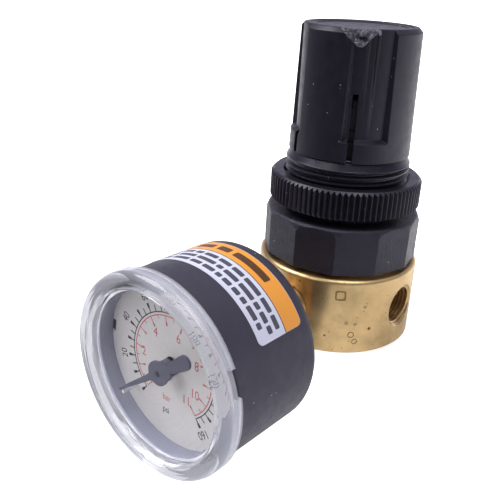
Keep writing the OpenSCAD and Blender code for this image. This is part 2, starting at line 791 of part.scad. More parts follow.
module lens() {
    notch = [12, 27];
    skirt_back = case_front + 0.05;
    spigot_r = lens_seat_r - 0.06;
    window_front = 64.7;
    color("lightblue", 0.4) gauge_frame() difference() {
        rotate_extrude() polygon(concat(
            [[0, 63.2], [17.5, 63.2], [dial_r, 62], [dial_r, dial_face], [spigot_r, dial_face],
             [spigot_r, skirt_back], [lens_r, skirt_back]],
            arc([lens_r - 1.8, lens_front - 1.9], 1.8, 0, 75, 6),
            [[20.2, lens_front], [19, lens_front], [18.5, lens_front - 0.4], [18.3, window_front], [0, window_front]]));
        // gap in the skirt for prising the lens off
        intersection() {
            translate([0, 0, case_front - 1]) linear_extrude(2.15) polygon([[0, 0],
                30 * [cos(notch[0]), sin(notch[0])], 30 * [cos(notch[1]), sin(notch[1])]]);
            translate([0, 0, case_front - 1]) ring(19.9, 30, 3);
        }
    }
}

module case_label() {
    from = 29;
    to = 141;
    paper = 0.1;
    color("darkorange") gauge_frame() rotate(from) rotate_extrude(angle = to - from, $fn = 96)
        translate([case_r + 0.005, 40.6]) square([paper, 12.9]);
}

body_brass();
rear_port_plug();
bottom_plug();
plug_oring();
valve_poppet();
valve_seal();
valve_spring();
diaphragm();
relief_seat();
diaphragm_plate();
slip_ring();
regulating_spring();
spring_nut();
adjusting_screw();
thrust_washer();
bonnet();
panel_nut();
knob();
knob_cap();
gauge_socket();
restrictor();
gauge_case();
case_screws();
bourdon_tube();
tube_tip();
link();
sector_gear();
pinion_arbor();
hairspring();
movement_back_plate();
movement_front_plate();
movement_posts();
movement_screws();
dial();
stop_pin();
pointer();
lens();
case_label();
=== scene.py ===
"""Looks of the air pressure regulator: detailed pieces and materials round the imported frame.

Lengths are in millimetres until a mesh is made. +Z runs up the regulator's axis and the gauge
looks towards -Y. Gauge pieces are drawn in the gauge's own frame: x across the dial, y up, and
z towards the viewer of the dial, measured from the regulator's axis.
"""
import math
import random
import bmesh
import bpy
from mathutils import Matrix, Vector, noise


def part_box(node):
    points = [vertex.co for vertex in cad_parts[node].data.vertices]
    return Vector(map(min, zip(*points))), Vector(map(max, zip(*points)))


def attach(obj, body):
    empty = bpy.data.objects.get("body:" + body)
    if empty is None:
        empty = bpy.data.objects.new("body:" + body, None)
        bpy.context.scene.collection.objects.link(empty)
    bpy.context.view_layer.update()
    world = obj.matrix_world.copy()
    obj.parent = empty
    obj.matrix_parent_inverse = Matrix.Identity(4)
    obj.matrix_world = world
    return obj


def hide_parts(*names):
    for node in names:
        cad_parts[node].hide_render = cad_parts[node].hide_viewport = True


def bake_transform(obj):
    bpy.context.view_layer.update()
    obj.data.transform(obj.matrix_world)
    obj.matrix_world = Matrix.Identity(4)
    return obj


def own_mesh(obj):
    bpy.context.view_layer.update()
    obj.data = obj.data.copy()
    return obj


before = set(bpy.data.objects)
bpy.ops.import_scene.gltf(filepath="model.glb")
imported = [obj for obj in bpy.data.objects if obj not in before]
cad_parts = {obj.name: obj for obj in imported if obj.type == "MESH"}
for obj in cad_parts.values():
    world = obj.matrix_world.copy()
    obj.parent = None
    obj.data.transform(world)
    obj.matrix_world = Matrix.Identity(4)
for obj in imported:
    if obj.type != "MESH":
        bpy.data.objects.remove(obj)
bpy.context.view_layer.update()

MM = 0.001
ROUND = 192


def low(node):
    """Lowest corner of a CAD node, in millimetres."""
    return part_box(node)[0] / MM


def high(node):
    """Highest corner of a CAD node, in millimetres."""
    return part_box(node)[1] / MM


# driving dimensions, read from the frame
BODY_R = high("body_brass").x
BOSS_TOP = high("body_brass").z
SKIRT_Z = low("bonnet").z
BODY_TOP = SKIRT_Z - 0.9
BONNET_TOP = high("bonnet").z
SKIRT_R = 19.3
SHOULDER_Z = SKIRT_Z + 11.25
NUT_Z = low("panel_nut").z
NUT_TOP = high("panel_nut").z
NUT_R = high("panel_nut").x
KNOB_Z = low("knob").z
KNOB_TOP = high("knob").z
PORT_Z = (low("lens").z + high("lens").z) / 2
PORT_FLOOR = 11.5
PORT_R = 5.0
NECK_R = 12.1
CASE_R = high("gauge_case").x
CASE_BACK = -high("gauge_case").y
CASE_FRONT = -low("gauge_case").y
DIAL_FACE = -low("dial").y
DIAL_BACK = -high("dial").y
DIAL_R = high("dial").x
POINTER_FRONT = -low("pointer").y
POINTER_BACK = POINTER_FRONT - 0.7
HUB_BACK = -high("pointer").y
LENS_R = high("lens").x
LENS_FRONT = -low("lens").y


# ---------------------------------------------------------------- mesh helpers

def put(name, data):
    """A new object in the scene."""
    obj = bpy.data.objects.new(name, data)
    bpy.context.scene.collection.objects.link(obj)
    return obj


def shift(x, y, z):
    """A move in millimetres."""
    return Matrix.Translation((x * MM, y * MM, z * MM))


def spin(degrees, axis="Z"):
    """A turn about an axis."""
    return Matrix.Rotation(math.radians(degrees), 4, axis)


GAUGE = shift(0, 0, PORT_Z) @ spin(90, "X")
KEY_ANGLES = (173, -7)
UPRIGHT = ("XY", "Z", 0.0)
ALONG_GAUGE = ("XZ", "Y", PORT_Z)
PRINT = (DIAL_FACE - 0.01, DIAL_FACE + 0.02)


def turn(point, degrees):
    """A flat point turned about the origin."""
    c, s = math.cos(math.radians(degrees)), math.sin(math.radians(degrees))
    return (point[0] * c - point[1] * s, point[0] * s + point[1] * c)


def arc(centre, radius, start, end, steps):
    """Points along an arc, angles in degrees."""
    angles = [math.radians(start + (end - start) * i / steps) for i in range(steps + 1)]
    return [(centre[0] + radius * math.cos(a), centre[1] + radius * math.sin(a)) for a in angles]


def solid(name, points, faces, place=None):
    """A mesh object from points in millimetres, its faces turned outwards."""
    mesh = bpy.data.meshes.new(name)
    mesh.from_pydata([Vector(p) * MM for p in points], [], faces)
    shape = bmesh.new()
    shape.from_mesh(mesh)
    bmesh.ops.recalc_face_normals(shape, faces=shape.faces)
    shape.to_mesh(mesh)
    shape.free()
    if place is not None:
        mesh.transform(place)
    return put(name, mesh)


def loft(name, rings, place=None, closed=False):
    """Rings of points joined in turn, with flat ends unless the last ring meets the first."""
    size = len(rings[0])
    points = [point for ring in rings for point in ring]
    every = list(range(len(points)))
    faces = [] if closed else [every[:size][::-1], every[-size:]]
    for k in range(len(rings) if closed else len(rings) - 1):
        here, there = k * size, (k + 1) % len(rings) * size
        faces += [[here + i, here + (i + 1) % size, there + (i + 1) % size, there + i]
                  for i in range(size)]
    return solid(name, points, faces, place)


def lathe(name, outline, steps=ROUND, place=None):
    """A closed outline of (radius, height) turned about Z."""
    angles = [2 * math.pi * i / steps for i in range(steps)]
    points = []
    rings = []
    for radius, height in outline:
        if radius < 1e-6:
            rings.append([len(points)] * steps)
            points.append((0, 0, height))
        else:
            rings.append([len(points) + i for i in range(steps)])
            points += [(radius * math.cos(a), radius * math.sin(a), height) for a in angles]
    faces = []
    for k, ring in enumerate(rings):
        above = rings[(k + 1) % len(rings)]
        if ring[0] == ring[1] and above[0] == above[1]:
            continue
        for i in range(steps):
            j = (i + 1) % steps
            faces.append(list(dict.fromkeys((ring[i], ring[j], above[j], above[i]))))
    return solid(name, points, faces, place)


def rod(name, radius, bottom, top, place, steps=32):
    """A plain round bar, for cutters and hubs."""
    return lathe(name, [(0, bottom), (radius, bottom), (radius, top), (0, top)], steps, place)


def prism(name, loop, bottom, top, place=None):
    """A flat outline raised from one height to another."""
    return loft(name, [[(x, y, z) for x, y in loop] for z in (bottom, top)], place)


def block(name, lows, highs, place=None):
    """A straight-sided cutter between two corners."""
    loop = [(lows[0], lows[1]), (highs[0], lows[1]), (highs[0], highs[1]), (lows[0], highs[1])]
    return prism(name, loop, lows[2], highs[2], place)


def threaded(name, root_r, crest_r, pitch, bottom, turns, ridge=(-9, 999), steps=96, place=None):
    """A closed rod whose side carries a helical thread. The ridge fades in and out at its two ends,
    which are given in turns from the bottom."""
    shares = (0, 0, 0.5, 1, 1, 0.5)
    rows = len(shares)
    fade = 0.22
    columns = [[] for _ in range(steps)]
    points = []
    for i in range(steps):
        count = rows * turns + 1 + (rows if i == 0 else 0)
        for j in range(count):
            at = j // rows + i / steps
            held = min(max((at - ridge[0]) / fade, 0), max((ridge[1] - at) / fade, 0), 1)
            radius = root_r + (crest_r - root_r) * shares[j % rows] * held
            angle = 2 * math.pi * i / steps
            columns[i].append(len(points))
            points.append((radius * math.cos(angle), radius * math.sin(angle),
                           bottom + pitch * (j / rows + i / steps)))
    faces = []
    for i in range(steps):
        for j in range(rows * turns):
            right = columns[i + 1] if i + 1 < steps else columns[0][rows:]
            faces.append([columns[i][j], right[j], right[j + 1], columns[i][j + 1]])
    first = [c[0] for c in columns] + columns[0][rows:0:-1]
    last = [c[rows * turns] for c in columns] + columns[0][:rows * turns:-1]
    for loop, height in ((first, bottom - pitch / 2), (last, bottom + pitch * (turns + 1.5))):
        middle = len(points)
        points.append((0, 0, height))
        faces += [[middle, loop[k], loop[(k + 1) % len(loop)]] for k in range(len(loop))]
    return solid(name, points, faces, place)


def modify(obj, kind, **settings):
    """Makes the result of one modifier the object's own mesh."""
    change = obj.modifiers.new(kind.lower(), kind)
    for key, value in settings.items():
        setattr(change, key, value)
    bpy.context.view_layer.update()
    shape = bpy.data.meshes.new_from_object(
        obj.evaluated_get(bpy.context.evaluated_depsgraph_get()))
    obj.modifiers.clear()
    before = obj.data
    obj.data = shape
    bpy.data.meshes.remove(before)
    return obj


def combine(target, others, operation="DIFFERENCE"):
    """Cuts away, adds or keeps what other solids share, one after the other, and removes them."""
    for other in others:
        modify(target, "BOOLEAN", operation=operation, solver="EXACT", material_mode="TRANSFER",
               object=other)
        bpy.data.objects.remove(other)
    return target


def smooth(obj, sharp=32):
    """Smooth shading, with edges above an angle kept crisp."""
    obj.data.shade_smooth()
    obj.data.set_sharp_from_angle(angle=math.radians(sharp))
    return modify(obj, "WEIGHTED_NORMAL", keep_sharp=True)


def join(name, parts):
    """Several separate solids as one object, in the order given."""
    shape = bmesh.new()
    materials = []
    for part in parts:
        first = len(shape.faces)
        shape.from_mesh(part.data)
        shape.faces.ensure_lookup_table()
        for slot_material in part.data.materials:
            if slot_material not in materials:
                materials.append(slot_material)
        for face in shape.faces[first:]:
            if part.data.materials:
                face.material_index = materials.index(part.data.materials[face.material_index])
        bpy.data.objects.remove(part)
    mesh = bpy.data.meshes.new(name)
    shape.to_mesh(mesh)
    shape.free()
    for material in materials:
        mesh.materials.append(material)
    return put(name, mesh)


def paint(obj, *materials):
    """Gives an object its materials, in the order that its faces number them."""
    obj.data.materials.clear()
    for material in materials:
        obj.data.materials.append(material)
    return obj


def place_on(obj, body, nodes=(), sharp=32):
    """Shades a finished piece, hands it to its body and hides the CAD nodes it stands for."""
    smooth(obj, sharp)
    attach(obj, body)
    if nodes:
        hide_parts(*nodes)
    return obj


# ------------------------------------------------------------------- materials

class Nodes:
    """A node tree under construction."""

    def __init__(self, tree):
        self.tree = tree

    def add(self, kind, inputs=None, **settings):
        """A new node with its inputs set or linked."""
        node = self.tree.nodes.new("ShaderNode" + kind)
        for key, value in settings.items():
            setattr(node, key, value)
        for key, value in (inputs or {}).items():
            self.feed(node, key, value)
        return node

    def feed(self, node, key, value):
        """Sets or links one input."""
        if isinstance(value, bpy.types.NodeSocket):
            self.tree.links.new(value, node.inputs[key])
        else:
            node.inputs[key].default_value = value

    def math(self, operation, a, b=0.0, c=0.0):
        """One sum on two or three values."""
        return self.add("Math", {0: a, 1: b, 2: c}, operation=operation).outputs[0]

    def plus(self, a, b):
        """The sum of two values."""
        return self.math("ADD", a, b)

    def times(self, a, b):
        """The product of two values."""
        return self.math("MULTIPLY", a, b)

    def ramp(self, value, *stops):
        """A value sent through stops of (position, grey or colour)."""
        node = self.add("ValToRGB", {"Fac": value})
        marks = node.color_ramp.elements
        while len(marks) < len(stops):
            marks.new(0.5)
        for mark, (position, shade) in zip(marks, stops):
            mark.position = position
            mark.color = (*((shade,) * 3 if isinstance(shade, (int, float)) else shade), 1)
        return node.outputs["Color"]

    def mix(self, value, a, b, blend_type="MIX"):
        """Colour a turning into colour b."""
        node = self.add("Mix", data_type="RGBA", blend_type=blend_type)
        for key, item in (("Factor", value), (6, a), (7, b)):
            self.feed(node, key, (*item, 1) if isinstance(item, (tuple, list)) else item)
        return node.outputs[2]

    def by_ray(self, kind, usual, other, output):
        """Shows one shader to all rays but those of one kind, which meet another."""
        chosen = self.add("LightPath").outputs[kind]
        both = self.add("MixShader", {0: chosen, 1: usual.outputs[0], 2: other.outputs[0]})
        self.tree.links.new(both.outputs[0], output.inputs[0])


class Finish(Nodes):
    """A procedural material under construction. Coordinates are the piece's own, in millimetres."""

    def __init__(self, name):
        self.material = bpy.data.materials.new(name)
        self.material.use_nodes = True
        super().__init__(self.material.node_tree)
        self.shader = next(n for n in self.tree.nodes if n.type == "BSDF_PRINCIPLED")
        self.output = next(n for n in self.tree.nodes if n.type == "OUTPUT_MATERIAL")

    def place(self, stretch=(1, 1, 1)):
        """The piece's own coordinates in millimetres, stretched along the axes."""
        source = self.add("TexCoord").outputs["Object"]
        scale = [s / MM for s in stretch]
        return self.add("Mapping", {"Vector": source, "Scale": scale}).outputs["Vector"]

    def turned(self, across, along, offset):
        """Distance from a turning axis and height along it, for marks left by a lathe."""
        parts = self.add("SeparateXYZ", {0: self.place()}).outputs
        side = self.math("SUBTRACT", parts[across[1]], offset)
        first = self.times(parts[across[0]], parts[across[0]])
        second = self.times(side, side)
        radius = self.math("SQRT", self.plus(first, second))
        return self.add("CombineXYZ", {0: radius, 2: parts[along]}).outputs[0]

    def noise(self, vector, scale, detail=3.0, rough=0.5):
        """Cloudy noise from 0 to 1; scale is features per millimetre."""
        return self.add("TexNoise", {"Vector": vector, "Scale": scale, "Detail": detail,
                                     "Roughness": rough}).outputs["Fac"]

    def specks(self, vector, scale, size, share):
        """Scattered specks: one in some cells of a given share, with a radius in cells."""
        cells = self.add("TexVoronoi", {"Vector": vector, "Scale": scale, "Randomness": 1.0})
        near = self.math("LESS_THAN", cells.outputs["Distance"], size)
        red = self.add("SeparateColor", {0: cells.outputs["Color"]}).outputs[0]
        return self.times(near, self.math("LESS_THAN", red, share))

    def bump(self, height, depth, normal=None):
        """A relief of a depth in millimetres, over another relief if there is one."""
        inputs = {"Height": height, "Strength": 1.0, "Distance": depth * MM}
        if normal is not None:
            inputs["Normal"] = normal
        return self.add("Bump", inputs).outputs["Normal"]

    def rounded(self, radius):
        """Edges rounded in the shading by a radius in millimetres."""
        return self.add("Bevel", {"Radius": radius * MM}, samples=4).outputs["Normal"]

    def finish(self, **inputs):
        """Connects the surface's own inputs and gives the material."""
        for key, value in inputs.items():
            self.feed(self.shader, key.replace("_", " "), value)
        return self.material


def colour(red, green, blue):
    """A display colour of 0 to 255 a channel, as linear light."""
    def linear(v):
        v /= 255
        return v / 12.92 if v <= 0.04045 else ((v + 0.055) / 1.055) ** 2.4
    return (linear(red), linear(green), linear(blue))


def plastic(name, shade, rough=0.4, grain=0.012, grain_scale=5.0, dust=0.02, edge=0.12):
    """Moulded plastic: faint mottling, fine grain, hairline scuffs and a little dust."""
    make = Finish(name)
    place = make.place()
    cloud = make.noise(place, 0.12, 4)
    dark = [c * 0.8 for c in shade]
    pale = [c * 1.25 + 0.002 for c in shade]
    base = make.mix(cloud, dark, pale)
    hairs = make.noise(make.place((0.25, 1.4, 6.0)), 1.2, 5, 0.7)
    scuff = make.ramp(hairs, (0.66, 0.0), (0.74, 1.0))
    base = make.mix(make.times(scuff, 0.16), base, [c + 0.05 for c in pale])
    motes = make.specks(place, 0.9, 0.12, dust)
    base = make.mix(make.times(motes, 0.75), base, (0.5, 0.5, 0.52))
    roughness = make.ramp(make.noise(place, 0.5, 4), (0.3, rough - 0.05), (0.75, rough + 0.1))
    fine = make.noise(place, grain_scale, 2, 0.6)
    normal = make.bump(fine, grain, make.rounded(edge))
    return make.finish(Base_Color=base, Roughness=roughness, Normal=normal, IOR=1.52,
                       Specular_Tint=(0.87, 0.84, 1.0, 1))


def brass(name, shade=(0.76, 0.555, 0.28), rough=0.33, axis=UPRIGHT, stain=0.35):
    """Turned brass: ring marks from the lathe, tarnish in clouds and small dark spots."""
    make = Finish(name)
    place = make.place()
    rings = make.turned(*axis)
    marks = make.noise(rings, 7.0, 4, 0.7)
    broad = make.noise(rings, 0.9, 2)
    patches = make.ramp(make.noise(place, 0.13, 5, 0.62), (0.42, 0.0), (0.72, 1.0))
    olive = [shade[0] * 0.62, shade[1] * 0.60, shade[2] * 0.55]
    warm = [shade[0] * 1.02, shade[1] * 0.92, shade[2] * 0.82]
    base = make.mix(broad, shade, warm)
    base = make.mix(make.times(patches, stain), base, olive)
    blots = make.specks(place, 0.42, 0.15, 0.2)
    ragged = make.ramp(make.noise(place, 1.6, 4), (0.42, 0.0), (0.55, 1.0))
    spots = make.times(make.times(blots, ragged), stain)
    base = make.mix(spots, base, [c * 0.35 for c in shade])
    pits = make.specks(place, 1.05, 0.19, 0.13)
    base = make.mix(make.times(pits, stain * 0.8), base, [c * 0.3 for c in shade])
    uneven = make.noise(place, 0.6, 5, 0.6)
    roughness = make.plus(make.times(uneven, 0.2), rough - 0.06)
    roughness = make.plus(roughness, make.times(marks, 0.1))
    normal = make.bump(marks, 0.006, make.rounded(0.1))
    normal = make.bump(make.noise(place, 0.8, 3), 0.01, normal)
    normal = make.bump(make.times(pits, -1), 0.02, normal)
    ring_way = make.add("Tangent", direction_type="RADIAL", axis=axis[1]).outputs[0]
    return make.finish(Base_Color=base, Metallic=1.0, Roughness=roughness, Normal=normal,
                       Anisotropic=0.6, Anisotropic_Rotation=0.25, Tangent=ring_way)


def metal(name, shade, rough, axis=UPRIGHT):
    """Plated or plain metal with fine turning marks and slight unevenness."""
    make = Finish(name)
    place = make.place()
    marks = make.noise(make.turned(*axis), 6.0, 4, 0.65)
    cloud = make.noise(place, 0.5, 4)
    base = make.mix(cloud, [c * 0.82 for c in shade], shade)
    roughness = make.plus(make.times(cloud, 0.15), rough - 0.05)
    normal = make.bump(marks, 0.005, make.rounded(0.06))
    return make.finish(Base_Color=base, Metallic=1.0, Roughness=roughness, Normal=normal)


def torn_plastic():
    """The rough, whitened plastic in a chipped and melted place."""
    make = Finish("torn_plastic")
    place = make.place()
    cloud = make.noise(place, 1.3, 6, 0.7)
    white = make.ramp(cloud, (0.35, 0.0), (0.7, 1.0))
    base = make.mix(white, colour(56, 54, 62), colour(156, 154, 166))
    normal = make.bump(make.noise(place, 3.2, 6, 0.75), 0.16)
    return make.finish(Base_Color=base, Roughness=0.62, Normal=normal)


def rubber(name, shade):
    """Matt rubber with a woven trace and bloom."""
    make = Finish(name)
    place = make.place()
    cloud = make.noise(place, 0.4, 5)
    base = make.mix(cloud, [c * 0.7 for c in shade], [c * 1.3 for c in shade])
    normal = make.bump(make.noise(place, 6.0, 3), 0.02)
    return make.finish(Base_Color=base, Roughness=0.75, Normal=normal)


def clear_plastic(name, shade, rough, clear, flow_depth=0.012, bend=1.5):
    """Clear moulded polycarbonate: flow rings, hairline scratches and a tint of the given shade,
    partly opaque where clear is below 1.
    On the lens's rim that tint is a milky haze together with a painted highlight, and on its inner
    wall it is painted shade.
    Light passes it to what lies behind."""
    make = Finish(name)
    rings = make.turned(*ALONG_GAUGE)
    flow = make.noise(rings, 0.9, 3)
    normal = make.bump(flow, flow_depth)
    hairs = make.noise(make.place((5.0, 1.0, 0.4)), 0.8, 5, 0.7)
    roughness = make.ramp(hairs, (0.6, rough), (0.75, rough + 0.1))
    # Lighter and darker streaks in the tint, along the rings: flow marks, which on the rim and the
    # wall also carry the painted highlight and shade.
    streaks = make.noise(rings, 2.2, 4, 0.6)
    base = make.mix(streaks, [c * 0.86 for c in shade], [min(1, c * 1.1) for c in shade])
    make.finish(Base_Color=base, Roughness=roughness, Normal=normal, IOR=bend,
                Transmission_Weight=clear)
    through = make.add("BsdfTransparent", {"Color": (0.93, 0.94, 0.97, 1)})
    make.by_ray("Is Shadow Ray", make.shader, through, make.output)
    return make.material


def printed(name, shade):
    """A layer of ink with slight pinholes and uneven cover."""
    make = Finish(name)
    place = make.place()
    cover = make.ramp(make.noise(place, 3.0, 4, 0.7), (0.3, 0.0), (0.55, 1.0))
    pale = [min(1, c * 1.5 + 0.03) for c in shade]
    base = make.mix(cover, pale, shade)
    normal = make.bump(cover, 0.004)
    return make.finish(Base_Color=base, Roughness=0.5, Normal=normal)


def paper(name, shade):
    """Satin label film with faint fibres and handling marks."""
    make = Finish(name)
    place = make.place()
    fibre = make.noise(place, 4.0, 4, 0.7)
    cloud = make.noise(place, 0.25, 4)
    base = make.mix(make.times(cloud, 0.35), shade, [c * 0.82 for c in shade])
    roughness = make.plus(make.times(cloud, 0.2), 0.32)
    normal = make.bump(fibre, 0.004)
    return make.finish(Base_Color=base, Roughness=roughness, Normal=normal)


def painted_dial():
    """Warm light grey enamel with faint mottling and a few motes."""
    make = Finish("dial_enamel")
    place = make.place()
    cloud = make.noise(place, 0.18, 5, 0.6)
    base = make.mix(cloud, colour(238, 232, 224), colour(248, 245, 240))
    motes = make.specks(place, 0.8, 0.07, 0.03)
    base = make.mix(make.times(motes, 0.5), base, colour(120, 115, 110))
    normal = make.bump(make.noise(place, 5.0, 3), 0.003)
    return make.finish(Base_Color=base, Roughness=0.42, Normal=normal)


BRASS_BODY = brass("turned_brass", (0.74, 0.55, 0.285), 0.25, stain=0.85)
BRASS_STAMP = brass("stamped_brass", (0.42, 0.30, 0.14), 0.4, stain=0.5)
BRASS_FITTING = brass("fitting_brass", rough=0.3, axis=ALONG_GAUGE, stain=0.3)
BRASS_PLUG = brass("plug_brass")
BRASS_MOVEMENT = metal("movement_brass", (0.85, 0.62, 0.28), 0.3, ALONG_GAUGE)
BRASS_VALVE = metal("valve_brass", (0.83, 0.60, 0.27), 0.28)
BRONZE = metal("tube_bronze", (0.76, 0.44, 0.25), 0.34, ALONG_GAUGE)
STEEL = metal("bright_steel", (0.58, 0.58, 0.60), 0.3)
DARK_STEEL = metal("dark_steel", (0.12, 0.12, 0.14), 0.5)
SPRING_STEEL = metal("spring_steel", (0.38, 0.38, 0.41), 0.35)
ZINC = metal("plated_zinc", (0.66, 0.67, 0.66), 0.38)
ALUMINIUM = metal("bare_aluminium", (0.80, 0.81, 0.83), 0.36)
RUBBER = rubber("black_rubber", (0.02, 0.02, 0.021))
BONNET_PLASTIC = plastic("bonnet_plastic", colour(27, 24, 36), 0.4, 0.17, 2.7, 0.01, 0.15)
# Near-black plastic for the neck above the collar: painted shade, for the shade that falls on the neck
# inside the knob's slots.
SHADED_NECK_PLASTIC = plastic("neck_plastic_painted_shade", colour(9, 7, 12), 0.6, 0.02, 5.0, 0.01, 0.1)
NUT_PLASTIC = plastic("nut_plastic", colour(22, 20, 29), 0.34, 0.01, 5.0, 0.01, 0.09)
KNOB_PLASTIC = plastic("knob_plastic", colour(20, 17, 28), 0.38, 0.008, 5.0, 0.07, 0.3)
THREAD_PLASTIC = plastic("thread_plastic", colour(24, 21, 32), 0.3, 0.01, 5.0, 0.01, 0.06)
CASE_PLASTIC = plastic("case_plastic", colour(57, 55, 67), 0.5, 0.012, 7.0, 0.02, 0.15)
TORN_PLASTIC = torn_plastic()
POINTER_PAINT = plastic("pointer_paint", colour(98, 98, 114), 0.42, 0.008, 6.0, 0.01, 0.05)
PIN_PAINT = plastic("pin_enamel", colour(226, 226, 224), 0.4, 0.004, 6.0, 0.0, 0.05)
NYLON = plastic("nylon", colour(222, 216, 198), 0.5, 0.006, 5.0, 0.01, 0.05)
CLEAR = clear_plastic("clear_polycarbonate", (0.97, 0.97, 1.0), 0.02, 1.0, 0.004, 1.12)
# Pale milky tint on the rim: partly haze in the thick plastic, partly a painted highlight for the
# bright band the rim shows.
RIM_HAZE_AND_HIGHLIGHT = clear_plastic("clear_rim_haze_and_painted_highlight", (0.88, 0.88, 0.96), 0.06, 0.74)
# Blue-grey, half-clear tint on the inner wall: painted shade, for the dark case seen through it.
WALL_PAINTED_SHADE = clear_plastic("clear_wall_painted_shade", (0.66, 0.68, 0.82), 0.14, 0.65)
CLEAR_STEP = clear_plastic("clear_step", (0.92, 0.92, 0.98), 0.04, 0.88)
DIAL_PAINT = painted_dial()
BLACK_INK = printed("black_ink", colour(44, 44, 54))
RED_INK = printed("red_ink", colour(212, 112, 116))
ORANGE_FILM = paper("orange_film", colour(255, 170, 64))
WHITE_FILM = paper("white_film", colour(228, 229, 246))
BAR_INK = printed("grey_bar_ink", colour(70, 70, 86))
DARK_INK = printed("dark_bar_ink", colour(84, 52, 24))


# ------------------------------------------------------------ body of the regulator

def stamp_ring(name, outer, wide, sides, polar, height):
    """A cutter for a stamped ring or rounded square on the brass body's side."""
    depth = 0.16
    if sides == 4:
        angles = [math.radians(10 * k) for k in range(36)]
        swell = [(math.cos(a) ** 6 + math.sin(a) ** 6) ** (-1 / 6) for a in angles]
        flat = [(w * math.cos(a), w * math.sin(a)) for a, w in zip(angles, swell)]
    else:
        flat = [turn((1, 0), 360 * k / sides) for k in range(sides)]
    rings = [[(r * x, r * y, z) for x, y in flat]
             for r, z in ((outer, -depth), (outer - wide, -depth), (outer - wide, 1), (outer, 1))]
    return loft(name, rings, spin(polar) @ shift(BODY_R, 0, height) @ spin(90, "Y"), closed=True)


def brass_body():
    """Turned body: ports with real threads, valve bore, diaphragm chamber and stamped marks."""
    edge = 1.0
    outside = [(9.04, 0), (BODY_R - 0.3, 0), (BODY_R, 0.3),
               *arc((BODY_R - edge, BODY_TOP - edge), edge, 0, 90, 8),
               (16.8, BODY_TOP), (16.8, BOSS_TOP - 0.4), (16.4, BOSS_TOP)]
    chamber = [(13.5, BOSS_TOP), (13.5, 21), (2.6, 21), (2.6, 14.5)]
    valve_bore = [(3.4, 14.5), (3.4, 15), (6, 15), (6, 8), (6.49, 8), (6.49, 4.1)]
    plug_seat = [(8.3, 4.1), (8.3, 2.5), (9.04, 2.5)]
    body = lathe("regulator_body", outside + chamber + valve_bore + plug_seat, 256)
    paint(body, BRASS_BODY)
    cutters = []
    for k, angle in enumerate((0, 90, 180, 270)):
        across = spin(angle) @ shift(0, 0, PORT_Z) @ spin(90, "Y")
        cutters.append(threaded(f"port{k}", 4.55, 5.12, 0.94, PORT_FLOOR + 0.5, 10, place=across))
        mouth = [(0, BODY_R - 0.75), (PORT_R - 0.15, BODY_R - 0.75), (PORT_R + 1.6, BODY_R + 1),
                 (0, BODY_R + 1)]
        cutters.append(lathe(f"mouth{k}", mouth, 96, across))
        if angle != 180:
            spot = spin(angle) @ shift(PORT_FLOOR + 0.6, 0, 0)
            cutters.append(rod(f"riser{k}", 1.4, PORT_Z, 22, spot))
        else:
            cutters.append(rod("inlet_way", 2, 4, 13, across))
    for k, (outer, wide, sides, polar, height) in enumerate((
            (1.3, 0.42, 4, -53, 15.6), (0.8, 0.2, 20, -43, 5.2), (0.72, 0.18, 20, -40, 3.3),
            (0.42, 0.38, 12, -30, 6.6), (0.45, 0.16, 6, -47, 8.4), (0.3, 0.25, 8, -61, 4.6),
            (0.36, 0.14, 5, -41, 8.0), (0.4, 0.14, 8, -35, 12.6))):
        cutters.append(stamp_ring(f"stamp{k}", outer, wide, sides, polar, height))
    combine(body, [paint(cutter, BRASS_STAMP if cutter.name.startswith("stamp") else BRASS_BODY)
                   for cutter in cutters])
    return place_on(body, "root", ["body_brass"])


def dodecagon(radius, corner):
    """A twelve-sided outline with its corners rounded."""
    loop = []
    for k in range(12):
        inward = radius - corner / math.cos(math.radians(15))
        centre = turn((inward, 0), 30 * k)
        loop += arc(centre, corner, 30 * k - 15, 30 * k + 15, 4)
    return loop


